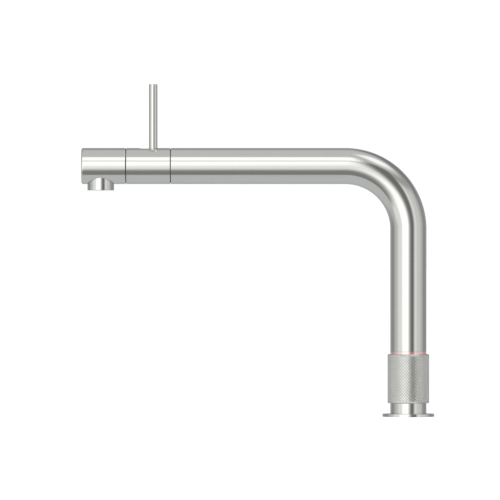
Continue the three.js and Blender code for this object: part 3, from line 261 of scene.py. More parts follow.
def linear(grey: float) -> float:
    """The linear value of a display grey from 0 to 255."""
    share = grey / 255
    return share / 12.92 if share <= 0.04045 else ((share + 0.055) / 1.055) ** 2.4


# ---------------------------------------------------------------------------
# Finishes
# ---------------------------------------------------------------------------


class Grain(Enum):
    """What a finish reads its pattern from."""

    OBJECT = "object"
    FOLLOWS_SURFACE = "grain"


@dataclass(frozen=True)
class Finish:
    """A finish: what every material here is made from."""

    slot: str
    color: Color
    roughness: float

    @property
    def name(self) -> str:
        """The material's name."""
        return self.slot

    def place(self, bench: Bench) -> Wire:
        """Where the pattern is read: the object's own coordinates."""
        return bench.node("ShaderNodeTexCoord", None, None, "Object")

    def sockets(self, bench: Bench) -> dict[str, object]:
        """What goes into the shader's sockets.

        Args:
            bench: the material's node tree.

        Returns:
            Values and wires by socket name.
        """
        raise NotImplementedError

    def make(self) -> bpy.types.Material:
        """Builds the material.

        Returns:
            The material.
        """
        made = bpy.data.materials.new(self.name)
        made.use_nodes = True
        bench = Bench(made.node_tree)
        shader = bench.node("ShaderNodeBsdfPrincipled", None, self.sockets(bench))
        bench.node("ShaderNodeOutputMaterial", None, {"Surface": shader})
        return made


@dataclass(frozen=True)
class BrushedSteel(Finish):
    """Satin stainless steel, brushed round the tube: fine lines across it, faint broader bands."""

    grain: Grain = Grain.FOLLOWS_SURFACE
    line_pitch: float = 0.16 * MM
    line_length: float = 14 * MM
    band_pitch: float = 2.2 * MM
    line_share: float = 0.6
    wipes_in_metre: float = 38.0
    contrast: float = 0.05
    spread: float = 0.05
    relief: float = 0.35
    depth: float = 0.004 * MM

    @property
    def name(self) -> str:
        """The material's name."""
        return f"{self.slot}_{self.grain.value}"

    def place(self, bench: Bench) -> Wire:
        """Where the pattern is read: on a piece that has them, its straightened places, length first.

        Args:
            bench: the material's node tree.

        Returns:
            The place.
        """
        if self.grain is Grain.OBJECT:
            return super().place(bench)
        settings = {"attribute_type": "GEOMETRY", "attribute_name": self.grain.value}
        return bench.node("ShaderNodeAttribute", settings, None, "Vector")

    def sockets(self, bench: Bench) -> dict[str, object]:
        """Lines across the piece in colour, roughness and height.

        Args:
            bench: the material's node tree.

        Returns:
            Values and wires by socket name.
        """
        where = self.place(bench)
        around = 1 / self.line_length
        fine, broad = (1 / self.line_pitch, around, around), (1 / self.band_pitch, around, around)
        lines = bench.noise(bench.stretched(where, fine), 1.0, detail=3.0, roughness=0.6)
        bands = bench.noise(bench.stretched(where, broad), 1.0)
        wipes = bench.noise(where, self.wipes_in_metre)
        streaks = lines * self.line_share + bands * (1 - self.line_share)
        return {
            "Base Color": bench.shaded(streaks, self.color, self.contrast),
            "Metallic": 1.0,
            "Roughness": self.roughness + (streaks - 0.5) * self.spread + (wipes - 0.5) * (self.spread / 2),
            "Normal": bench.bump(streaks, self.relief, self.depth),
        }


@dataclass(frozen=True)
class CutMetal(Finish):
    """Metal as the cutter left it: knurls, springs and turned brass."""

    pitch: float = 0.4 * MM
    marks_across: float = 90.0
    clouds_in_metre: float = 220.0
    contrast: float = 0.12
    spread: float = 0.08
    relief: float = 0.25
    depth: float = 0.01 * MM

    def sockets(self, bench: Bench) -> dict[str, object]:
        """Turning marks up the piece and cloudy tarnish.

        Args:
            bench: the material's node tree.

        Returns:
            Values and wires by socket name.
        """
        where = self.place(bench)
        scale = (self.marks_across, self.marks_across, 1 / self.pitch)
        marks = bench.noise(bench.stretched(where, scale), 1.0)
        clouds = bench.noise(where, self.clouds_in_metre, detail=3.0, roughness=0.6)
        mixed = (marks + clouds) * 0.5
        return {
            "Base Color": bench.shaded(mixed.between(*NOISE_MIDDLE), self.color, self.contrast),
            "Metallic": 1.0,
            "Roughness": self.roughness + (mixed - 0.5) * self.spread,
            "Normal": bench.bump(marks, self.relief, self.depth),
        }


@dataclass(frozen=True)
class Knurled(CutMetal):
    """Knurled steel: painted light on the diamonds, a little painted shade down in the grooves."""

    diamond_painted_light: float = 1.08
    groove_painted_shade: float = 0.79

    def sockets(self, bench: Bench) -> dict[str, object]:
        """The cut metal, with painted light on the diamonds and painted shade by how deep it lies.

        Args:
            bench: the material's node tree.

        Returns:
            Values and wires by socket name.
        """
        sockets = super().sockets(bench)
        depth = bench.node("ShaderNodeAttribute", {"attribute_name": DEPTH}, None, "Fac")
        # Painted light and shade: the base colour is lifted on the diamonds and darkened with depth into the
        # grooves.
        gain = self.diamond_painted_light + (self.groove_painted_shade - self.diamond_painted_light) * depth
        values = {0: sockets["Base Color"], 1: bench.vector(gain, gain, gain)}
        sockets["Base Color"] = bench.node("ShaderNodeVectorMath", {"operation": "MULTIPLY"}, values)
        return sockets


@dataclass(frozen=True)
class Moulded(Finish):
    """Moulded plastic, rubber or ceramic: a fine pebbled surface with soft mottling."""

    pebble: float = 0.35 * MM
    mottles_in_metre: float = 160.0
    contrast: float = 0.15
    spread: float = 0.12
    relief: float = 0.4
    depth: float = 0.01 * MM

    def sockets(self, bench: Bench) -> dict[str, object]:
        """Pebbles in height and roughness, mottling in colour.

        Args:
            bench: the material's node tree.

        Returns:
            Values and wires by socket name.
        """
        where = self.place(bench)
        pebbles = bench.noise(where, 1 / self.pebble, roughness=0.55)
        mottle = bench.noise(where, self.mottles_in_metre)
        return {
            "Base Color": bench.shaded(mottle.between(*NOISE_MIDDLE), self.color, self.contrast),
            "Roughness": self.roughness + (pebbles - 0.5) * self.spread,
            "Normal": bench.bump(pebbles, self.relief, self.depth),
        }


@dataclass(frozen=True)
class CircuitBoard(Finish):
    """Green lacquer over copper, with the tracks just showing."""

    track: float = 0.9 * MM
    unevenness: float = 0.35
    track_edges: Point = (0.28, 0.42)
    track_gain: float = 1.9
    track_roughness: float = 0.1
    lacquer: float = 0.6
    relief: float = 0.3
    depth: float = 0.02 * MM

    def sockets(self, bench: Bench) -> dict[str, object]:
        """Tracks as ridges of a cell pattern under the lacquer.

        Args:
            bench: the material's node tree.

        Returns:
            Values and wires by socket name.
        """
        values = {"Vector": self.place(bench), "Scale": 1 / self.track, "Randomness": self.unevenness}
        cells = bench.node("ShaderNodeTexVoronoi", {"distance": "CHEBYCHEV"}, values, "Distance")
        tracks = cells.between(*self.track_edges)
        return {
            "Base Color": bench.tint(tracks, self.color, self.color.times(self.track_gain)),
            "Roughness": self.roughness + tracks * self.track_roughness,
            "Coat Weight": self.lacquer,
            "Normal": bench.bump(tracks, self.relief, self.depth),
        }


@dataclass(frozen=True)
class LitRing(Finish):
    """Ring that mirrors the studio as the steel does, with a soft glow of its own."""

    glow: Color = Color(0.235, 0.037, 0.052)
    glow_swell: float = 0.1
    lamp_pitch: float = 5.2 * MM
    lamp_edges: Point = (0.25, 0.75)
    haze_in_metre: float = 900.0
    contrast: float = 0.04
    spread: float = 0.06

    def sockets(self, bench: Bench) -> dict[str, object]:
        """The glow swells a little in front of each lamp.

        Args:
            bench: the material's node tree.

        Returns:
            Values and wires by socket name.
        """
        where = self.place(bench)
        swell = bench.noise(where, 1 / self.lamp_pitch, detail=0.0).between(*self.lamp_edges)
        haze = bench.noise(where, self.haze_in_metre)
        return {
            "Base Color": bench.shaded(haze, self.color, self.contrast),
            "Metallic": 1.0,
            "Roughness": self.roughness + (haze - 0.5) * self.spread,
            "Emission Color": bench.shaded(swell, self.glow, self.glow_swell),
            "Emission Strength": 1.0,
        }


WHITE = Color(1.0, 1.0, 1.0)
STEEL = Color(0.715, 0.725, 0.700)
FINISHES: dict[str, Finish] = {
    finish.slot: finish
    for finish in (
        BrushedSteel("brushed_steel", STEEL, 0.1),
        Knurled("knurled_steel", STEEL, 0.29, contrast=0.05, spread=0.02),
        CutMetal("spring_steel", Color(0.52, 0.525, 0.53), 0.24),
        CutMetal("brass", Color(0.62, 0.44, 0.19), 0.26),
        Moulded("black_plastic", Color(0.022, 0.022, 0.024), 0.46),
        Moulded("black_rubber", Color(0.014, 0.014, 0.014), 0.68, pebble=0.6 * MM),
        Moulded("ceramic", Color(0.80, 0.79, 0.74), 0.22, contrast=0.04),
        Moulded("magnet", Color(0.05, 0.05, 0.055), 0.5, pebble=0.2 * MM),
        Moulded("cold_hose", Color(0.05, 0.16, 0.42), 0.42),
        Moulded("hot_hose", Color(0.42, 0.06, 0.04), 0.42),
        Moulded("boiling_hose", Color(0.68, 0.66, 0.60), 0.42, contrast=0.05),
        CircuitBoard("circuit_board", Color(0.012, 0.10, 0.035), 0.3),
        LitRing("lit_diffuser", Color(0.655, 0.675, 0.64), 0.12),
    )
}


class Paintbox:
    """The materials, each made once."""

    def __init__(self) -> None:
        """Starts with no materials."""
        self.made: dict[str, bpy.types.Material] = {}

    def material(self, finish: Finish) -> bpy.types.Material:
        """The material of a finish.

        Args:
            finish: the finish.

        Returns:
            Its material.
        """
        if finish.name not in self.made:
            self.made[finish.name] = finish.make()
        return self.made[finish.name]

    def dress_solids(self) -> None:
        """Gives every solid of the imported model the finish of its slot."""
        slots = {part["node"]: part["material_slot"] for part in frame["record"]["subparts"]}
        for node, solid in frame["nodes"].items():
            finish = FINISHES[slots[node]]
            if isinstance(finish, BrushedSteel):
                finish = replace(finish, grain=Grain.OBJECT)
            solid.data.materials.clear()
            solid.data.materials.append(self.material(finish))


# ---------------------------------------------------------------------------
# Modelling
# ---------------------------------------------------------------------------


def middle(node: str) -> Vector:
    """The middle of a solid's box."""
    low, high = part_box(node)
    return (low + high) / 2


def radius_of(node: str) -> float:
    """Radius of a round solid: half of its width from front to back."""
    low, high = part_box(node)
    return (high.y - low.y) / 2


@dataclass(frozen=True)
class Line:
    """A line that turned pieces are centred on, with the way that their length runs."""

    origin: Vector
    turn: Matrix

    @staticmethod
    def upright(x: float, y: float = 0.0) -> "Line":
        """The line straight up from a point of the worktop."""
        return Line(Vector((x, y, 0)), Matrix.Identity(4))

    @property
    def matrix(self) -> Matrix:
        """From the lathe, which turns about Z, to the line."""
        return Matrix.Translation(self.origin) @ self.turn


@dataclass(frozen=True)
class TapFrame:
    """The places and sizes that the pieces share. A pinhole is left on the axis of a turned end face."""

    bend_radius: float = 52.3 * MM
    body_radius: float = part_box("spout_tube")[1].x
    spout_height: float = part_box("spout_tube")[1].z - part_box("spout_tube")[1].x
    outlet: float = -middle("outlet_nozzle").x
    lever: float = -middle("lever_rod").x
    wall: float = 2.0 * MM
    lip: float = 0.18 * MM
    fit: float = 0.3 * MM
    pinhole: float = 0.4 * MM
    jet_radius: float = 1.8 * MM

    @property
    def bend_centre(self) -> Vector:
        """Centre of the bend."""
        return Vector((-self.bend_radius, 0, self.spout_height - self.bend_radius))

    @property
    def column(self) -> Line:
        """Up the column."""
        return Line.upright(0.0)

    @property
    def spout(self) -> Line:
        """Along the level run, away from the column."""
        return Line(Vector((0, 0, self.spout_height)), Matrix.Rotation(-math.pi / 2, 4, "Y"))

    @property
    def nozzle(self) -> Line:
        """Up through the outlet."""
        return Line.upright(-self.outlet)

    @property
    def stick(self) -> Line:
        """Up the lever."""
        return Line.upright(-self.lever)


TAP = TapFrame()


class Lathe:
    """Shapes pieces with Blender's own tools, as by hand."""

    fine: int = 128
    usual: int = 96
    small: int = 48
    smoothing: float = 35.0
    corner_steps: int = 3
    corner_share: float = 0.4
    hold: float = 0.3
    meeting: float = 0.002 * MM
    bevel_steps: int = 2
    bevel_angle: float = 40.0

    @staticmethod
    def new(name: str) -> bpy.types.Object:
        """Names the primitive that was just added and opens it, all selected.

        Args:
            name: the piece's name.

        Returns:
            The piece.
        """
        piece = bpy.context.object
        piece.name = name
        piece.data.name = name
        bpy.ops.object.mode_set(mode="EDIT")
        bpy.ops.mesh.select_all(action="SELECT")
        return piece

    @classmethod
    def circle(
        cls, name: str, radius: float, place: Vector, sides: int, turn: tuple[float, float, float] = (0, 0, 0)
    ) -> bpy.types.Object:
        """Adds an open circle and opens it.

        Args:
            name: the piece's name.
            radius: the circle's radius.
            place: its middle.
            sides: its corners.
            turn: how it is turned from lying flat.

        Returns:
            The piece.
        """
        bpy.ops.object.select_all(action="DESELECT")
        bpy.ops.mesh.primitive_circle_add(
            vertices=sides, radius=radius, location=place, rotation=turn, fill_type="NOTHING"
        )
        return cls.new(name)

    @classmethod
    def block(cls, low: Vector, high: Vector) -> bpy.types.Object:
        """Adds a block.

        Args:
            low: its lowest corner.
            high: its highest corner.

        Returns:
            The block.
        """
        bpy.ops.object.select_all(action="DESELECT")
        bpy.ops.mesh.primitive_cube_add(size=1.0, location=(low + high) / 2)
        block = bpy.context.object
        block.scale = high - low
        cls.bake_place()
        return block

    @staticmethod
    def bake_place() -> None:
        """Brings the place of what is selected into its mesh."""
        bpy.ops.object.transform_apply(location=True, rotation=True, scale=True)

    @classmethod
    def close(cls) -> None:
        """Merges what meets, turns the faces outwards and leaves edit mode."""
        bpy.ops.mesh.select_all(action="SELECT")
        bpy.ops.mesh.remove_doubles(threshold=cls.meeting)
        bpy.ops.mesh.fill_holes(sides=0)
        bpy.ops.mesh.select_all(action="SELECT")
        bpy.ops.mesh.normals_make_consistent(inside=False)
        bpy.ops.object.mode_set(mode="OBJECT")

    @staticmethod
    def only(piece: bpy.types.Object) -> None:
        """Selects one object alone.

        Args:
            piece: the object.
        """
        bpy.ops.object.select_all(action="DESELECT")
        piece.select_set(True)
        bpy.context.view_layer.objects.active = piece

    @classmethod
    def settle(cls, piece: bpy.types.Object, line: Line) -> None:
        """Brings a piece from the lathe to its line, and its place into its mesh.

        Args:
            piece: the piece, on the lathe.
            line: the line that it goes to.
        """
        cls.only(piece)
        cls.bake_place()
        piece.matrix_world = line.matrix
        cls.bake_place()

    @classmethod
    def smooth(cls, piece: bpy.types.Object, degrees: float) -> None:
        """Smooths the faces that meet at less than an angle."""
        cls.only(piece)
        bpy.ops.object.shade_smooth_by_angle(angle=math.radians(degrees))

    @classmethod
    def soften(cls, points: Sequence[Point], rounding: float) -> list[Point]:
        """Rounds the corners of a closed outline, and holds each flat beside them with one more point.

        Args:
            points: the corners.
            rounding: radius of the rounding, limited by the sides beside each corner.

        Returns:
            The points of the softened outline.
        """
        corners = [Vector(point) for point in points]
        softened: list[Point] = []
        for before, corner, after in zip([corners[-1], *corners], corners, [*corners[1:], corners[0]]):
            to_before, to_after = before - corner, after - corner
            half = to_before.angle(to_after) / 2
            shorter = min(to_before.length, to_after.length)
            reach = min(rounding / math.tan(half), cls.corner_share * shorter)
            start = corner + to_before.normalized() * reach
            end = corner + to_after.normalized() * reach
            softened.append(tuple(start + to_before.normalized() * cls.hold * reach))
            for step in range(cls.corner_steps + 1):
                share = step / cls.corner_steps
                softened.append(tuple(start.lerp(corner, share).lerp(corner.lerp(end, share), share)))
            softened.append(tuple(end + to_after.normalized() * cls.hold * reach))
        return softened

    @staticmethod
    def rim(radius: float, top: float, rounding: float, steps: int) -> list[Point]:
        """The quarter circle from a piece's side to its end face.

        Args:
            radius: the piece's radius.
            top: height of its end face.
            rounding: radius of the quarter circle.
            steps: faces along it.

        Returns:
            Its points, from the side on.
        """
        inner, low = radius - rounding, top - rounding
        turns = [math.pi / 2 * step / steps for step in range(steps + 1)]
        return [(inner + rounding * math.cos(turn), low + rounding * math.sin(turn)) for turn in turns]

    @classmethod
    def turned(
        cls, name: str, outline: Sequence[Point], line: Line, rounding: float = 0.15 * MM, sides: int = usual
    ) -> bpy.types.Object:
        """Turns a piece: a circle drawn out ring by ring along its outline.

        Args:
            name: the piece's name.
            outline: corners as (radius, height), which come back to the first.
            line: the line that the piece is centred on.
            rounding: radius of its edges.
            sides: faces round the piece.

        Returns:
            The piece, in its place.
        """
        points = cls.soften(outline, rounding) if rounding else list(outline)
        first_radius, first_height = points[0]
        tube = Tube(name, first_radius, Vector((0, 0, first_height)), sides)
        for radius, height in [*points[1:], points[0]]:
            tube.draw(Vector((0, 0, height)), radius)
        return tube.finish(line)

    @classmethod
    def cut(cls, piece: bpy.types.Object, cutter: bpy.types.Object) -> None:
        """Cuts one piece out of another and throws the cutter away.

        Args:
            piece: the piece that stays.
            cutter: the piece that is cut out of it.
        """
        cls.only(piece)
        modifier = piece.modifiers.new("cut", "BOOLEAN")
        modifier.operation = "DIFFERENCE"
        modifier.solver = "EXACT"
        modifier.object = cutter
        bpy.ops.object.modifier_apply(modifier=modifier.name)
        bpy.data.objects.remove(cutter)

    @classmethod
    def drill(
        cls, piece: bpy.types.Object, radius: float, start: Vector, end: Vector, sides: int = small
    ) -> None:
        """Drills a round hole.

        Args:
            piece: the piece to drill.
            radius: the hole's radius.
            start: where the drill starts.
            end: where it stops.
            sides: faces round the hole.
        """
        run = end - start
        turn = run.to_track_quat("Z", "Y").to_euler()
        bpy.ops.object.select_all(action="DESELECT")
        bpy.ops.mesh.primitive_cylinder_add(
            vertices=sides, radius=radius, depth=run.length, location=(start + end) / 2, rotation=turn
        )
        cls.cut(piece, bpy.context.object)

    @classmethod
    def bevel(cls, piece: bpy.types.Object, width: float) -> None:
        """Rounds the sharp edges of a piece.

        Args:
            piece: the piece.
            width: width of the rounding.
        """
        cls.only(piece)
        modifier = piece.modifiers.new("edges", "BEVEL")
        modifier.width = width
        modifier.segments = cls.bevel_steps
        modifier.limit_method = "ANGLE"
        modifier.angle_limit = math.radians(cls.bevel_angle)
        bpy.ops.object.modifier_apply(modifier=modifier.name)

    @staticmethod
    def pick(piece: bpy.types.Object, wanted: Mask) -> None:
        """Selects vertices, in edit mode.

        Args:
            piece: the piece.
            wanted: whether the vertex at a place is wanted.
        """
        bpy.ops.mesh.select_mode(type="VERT")
        bpy.ops.mesh.select_all(action="DESELECT")
        bpy.ops.object.mode_set(mode="OBJECT")
        world = piece.matrix_world
        for vertex in piece.data.vertices:
            vertex.select = wanted(world @ vertex.co)
        bpy.ops.object.mode_set(mode="EDIT")


class Tube:
    """A hollow piece that is drawn out from place to place, ring by ring."""

    least_change: float = 1e-7

    def __init__(self, name: str, radius: float, place: Vector, sides: int, tilt: float = 0.0) -> None:
        """Adds the first ring.

        Args:
            name: the piece's name.
            radius: the ring's radius.
            place: its middle.
            sides: faces round the piece.
            tilt: how far it is turned about Y, from lying flat.
        """
        self.radius = radius
        self.place = place
        self.piece = Lathe.circle(name, radius, place, sides, (0, tilt, 0))

    def draw(self, place: Vector, radius: float | None = None) -> None:
        """Draws the open end out into the next ring.

        Args:
            place: the middle of the next ring.
            radius: its radius, where it changes.
        """
        bpy.ops.mesh.extrude_region_move(TRANSFORM_OT_translate={"value": place - self.place})
        scale = (radius or self.radius) / self.radius
        if abs(scale - 1) > self.least_change:
            bpy.ops.transform.resize(value=(scale, scale, scale), center_override=place)
        self.place = place
        self.radius = radius or self.radius

    def swing(self, centre: Vector, way: int, steps: int) -> None:
        """Swings the open end through a quarter turn.

        Args:
            centre: centre of the bend.
            way: 1 from the column's side of the bend to its far side, -1 back.
            steps: rings in the bend.
        """
        quarter = math.pi / 2
        bpy.ops.mesh.spin(steps=steps, angle=way * quarter, center=centre, axis=(0, 1, 0))
        # Spin counts its angle the other way round from a rotation matrix.
        self.place = centre + Matrix.Rotation(-way * quarter, 3, "Y") @ (self.place - centre)

    def finish(self, line: Line) -> bpy.types.Object:
        """Closes the piece and brings it to its line.

        Args:
            line: the line that it goes to.

        Returns:
            The piece.
        """
        Lathe.close()
        Lathe.settle(self.piece, line)
        return self.piece


class Fitter:
    """Puts finished pieces on the tap: finish, grain, body and the solid that each stands for."""

    def __init__(self, paintbox: Paintbox) -> None:
        """Keeps the materials.

        Args:
            paintbox: where materials come from.
        """
        self.paintbox = paintbox

    @staticmethod
    def lay_grain(piece: bpy.types.Object, straighten: Straighten) -> None:
        """Writes each vertex's straightened place, its length first, for the brushed finish to follow.

        Args:
            piece: the piece, in its place.
            straighten: from a point to its place along and around the piece.
        """
        attribute = piece.data.attributes.new(Grain.FOLLOWS_SURFACE.value, "FLOAT_VECTOR", "POINT")
        for vertex, value in zip(piece.data.vertices, attribute.data):
            value.vector = straighten(vertex.co)

    def fit(
        self,
        piece: bpy.types.Object,
        body: str,
        slot: str,
        node: str,
        straighten: Straighten | None = None,
        smoothing: float = Lathe.smoothing,
    ) -> None:
        """Finishes a piece and hangs it on its body.

        Args:
            piece: the piece, in its place.
            body: the body that carries it.
            slot: the material slot that it takes its finish from.
            node: the solid that it stands for.
            straighten: from a point to its place along and around the piece, for brushed pieces.
            smoothing: the angle that faces are smoothed over, in degrees.
        """
        if straighten:
            self.lay_grain(piece, straighten)
        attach(piece, body)
        self.dress(piece, slot, node, smoothing)

    def dress(
        self, piece: bpy.types.Object, slot: str, node: str, smoothing: float = Lathe.smoothing
    ) -> None:
        """Smooths a piece, gives it its finish and hides the solid that it stands for.

        Args:
            piece: the piece, in its place.
            slot: the material slot that it takes its finish from.
            node: the solid that it stands for.
            smoothing: the angle that faces are smoothed over, in degrees.
        """
        Lathe.smooth(piece, smoothing)
        piece.data.materials.clear()
        piece.data.materials.append(self.paintbox.material(FINISHES[slot]))
        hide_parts(node)
        LOG.info("%s: %d faces", piece.name, len(piece.data.polygons))


def up(point: Vector) -> Vector:
    """Straightened place on an upright piece."""
    return Vector((point.z, point.x, point.y))


def outwards(point: Vector) -> Vector:
    """Straightened place on a flat round piece."""
    return Vector((point.xy.length, point.x, point.y))


def along(point: Vector) -> Vector:
    """Straightened place on a piece along the spout."""
    return Vector((-point.x, point.z - TAP.spout_height, point.y))


# ---------------------------------------------------------------------------
# Base
# ---------------------------------------------------------------------------


@dataclass
class Base:
    """Base plate, collar, lit ring and what the underside shows."""

    fitter: Fitter
    seat: float = 0.1 * MM
    edge: float = 0.2 * MM
    edge_steps: int = 6
    gasket_width: float = 1.6 * MM
    hairline: float = 0.03 * MM
    collar_wall: float = 1.7 * MM
    socket_wall: float = 2.0 * MM
    socket_depth: float = 12 * MM
    drill_start: float = 1.0 * MM
    bush_wall: float = 0.8 * MM
    post_wall: float = 1.8 * MM
    o_ring_groove: float = 0.55 * MM
    clip_groove: float = 0.6 * MM
    core_edge: float = 0.25 * MM
    tail_length: float = 3.4 * MM
    tail_edge: float = 0.12 * MM
    barb: float = 0.3 * MM
    barb_foot: float = 1.0 * MM
    barb_root: float = 1.5 * MM
    barb_end: float = 0.6 * MM
    bore_share: float = 0.32
    spigot_share: float = 0.62
    ring_drop: float = 0.25 * MM
    ring_wall: float = 1.0 * MM
    ring_overlap: float = 1.6 * MM
    ring_edge: float = 0.1 * MM

    def build(self) -> None:
        """Builds the pieces of the base."""
        self.plate()
        self.gasket()
        self.collar()
        self.core()
        for node, slot, grip in (
            ("cold_inlet", "brass", 0.82), ("hot_inlet", "brass", 0.82), ("boiling_inlet", "brass", 0.78),
            ("lead_connector", "black_plastic", 0.86),
        ):
            self.tail(node, slot, grip)
        self.lit_ring()

    def plate(self) -> None:
        """The round flange on the worktop, with a groove for the gasket below."""
        radius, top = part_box("base_plate")[1].x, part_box("base_plate")[1].z
        outer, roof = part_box("base_gasket")[1].x + TAP.fit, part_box("base_gasket")[1].z + self.seat
        inner = outer - self.gasket_width - 2 * TAP.fit
        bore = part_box("base_collar")[1].x - self.collar_wall
        outline = [
            (bore, 0.0), (inner, 0.0), (inner, roof), (outer, roof), (outer, 0.0), (radius - self.seat, 0.0),
            (radius, self.seat), *Lathe.rim(radius, top, self.edge, self.edge_steps), (bore, top),
        ]
        plate = Lathe.turned("flange_plate", outline, TAP.column, 0.0, Lathe.fine)
        self.fitter.fit(plate, "base", "brushed_steel", "base_plate", outwards)

    def gasket(self) -> None:
        """The seal under the flange."""
        low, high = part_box("base_gasket")
        inner = high.x - self.gasket_width
        outline = [(inner, low.z), (high.x, low.z), (high.x, high.z), (inner, high.z)]
        ring = Lathe.turned("flange_gasket", outline, TAP.column)
        self.fitter.fit(ring, "base", "black_rubber", "base_gasket")

    def collar(self) -> None:
        """The bare collar between flange and handle."""
        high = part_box("base_collar")[1]
        inner, bottom = high.x - self.collar_wall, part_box("base_plate")[1].z + self.hairline
        outline = [(inner, bottom), (high.x, bottom), (high.x, high.z), (inner, high.z)]
        ring = Lathe.turned("plain_collar", outline, TAP.column, self.edge, Lathe.fine)
        self.fitter.fit(ring, "base", "brushed_steel", "base_collar", up)

    def core(self) -> None:
        """The brass core with its fixing socket, which the underside shows."""
        foot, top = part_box("core_column")[1].x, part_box("core_column")[1].z
        foot_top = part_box("base_collar")[1].z
        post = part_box("lower_swivel_bush")[1].x - self.bush_wall - TAP.fit
        bore, socket = post - self.post_wall, foot - self.socket_wall
        outline = [
            (TAP.pinhole, self.socket_depth), (socket, self.socket_depth), (socket, 0.0), (foot, 0.0),
            (foot, foot_top), (post, foot_top), *self.post_groove("swivel_o_ring", post, self.o_ring_groove),
            *self.post_groove("retaining_clip", post, self.clip_groove), (post, top), (bore, top),
            (bore, foot_top), (TAP.pinhole, foot_top),
        ]
        core = Lathe.turned("swivel_core", outline, TAP.column, self.core_edge)
        for node in ("cold_inlet", "hot_inlet", "boiling_inlet", "lead_connector"):
            start = Vector((*middle(node).xy, self.socket_depth - self.drill_start))
            end = Vector((*start.xy, foot_top + self.drill_start))
            Lathe.drill(core, self.spigot_share * radius_of(node) + self.seat, start, end)
        lead = radius_of("signal_lead")
        out = Vector((0, 0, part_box("signal_lead")[1].z - lead))
        Lathe.drill(core, lead + self.seat, out, out + Vector((foot, 0, 0)))
        low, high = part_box("slide_key")
        seat = Vector((self.seat, self.seat, self.seat))
        Lathe.cut(core, Lathe.block(low - seat, high + seat))
        self.fitter.fit(core, "base", "brass", "core_column")

    def post_groove(self, node: str, post: float, depth: float) -> list[Point]:
        """The corners of a groove round the post.

        Args:
            node: the ring that sits in it.
            post: radius of the post.
            depth: the groove's depth.

        Returns:
            The corners, from the bottom up.
        """
        low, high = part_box(node)
        bottom, top = low.z - self.seat, high.z + self.seat
        return [(post, bottom), (post - depth, bottom), (post - depth, top), (post, top)]

    def tail(self, node: str, slot: str, grip: float) -> None:
        """A hose tail, or the lead's connector, in the socket.

        Args:
            node: the solid that it stands for.
            slot: the material slot that it takes its finish from.
            grip: radius of its barb, as a share of its flange's.
        """
        low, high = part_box(node)
        flange = radius_of(node)
        shoulder = self.socket_depth - self.seat
        top, tail = low.z + self.tail_length, flange * grip
        bore, spigot = self.bore_share * flange, self.spigot_share * flange
        outline = [
            (bore, low.z), (tail, low.z), (tail, low.z + self.barb_foot),
            (tail - self.barb, low.z + self.barb_root), (tail, top - self.barb_end), (tail, top),
            (flange, top), (flange, shoulder), (spigot, shoulder), (spigot, high.z), (bore, high.z),
        ]
        place = Line.upright(*middle(node).xy)
        fitting = Lathe.turned(f"{node}_tail", outline, place, self.tail_edge, Lathe.small)
        self.fitter.fit(fitting, "base", slot, node)

    def lit_ring(self) -> None:
        """The lit ring above the handle: a thin wall that runs down inside it, and a broader top."""
        low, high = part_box("light_ring")
        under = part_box("knurled_sleeve")[1].z
        inner, top = high.x - self.ring_wall, high.z - self.ring_drop
        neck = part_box("lamp_board")[1].x - self.ring_overlap
        outline = [(inner, low.z), (high.x, low.z), (high.x, top), (neck, top), (neck, under), (inner, under)]
        ring = Lathe.turned("glow_ring", outline, TAP.column, self.ring_edge, Lathe.fine)
        self.fitter.fit(ring, "base", "lit_diffuser", "light_ring")


# ---------------------------------------------------------------------------
# Handle
# ---------------------------------------------------------------------------


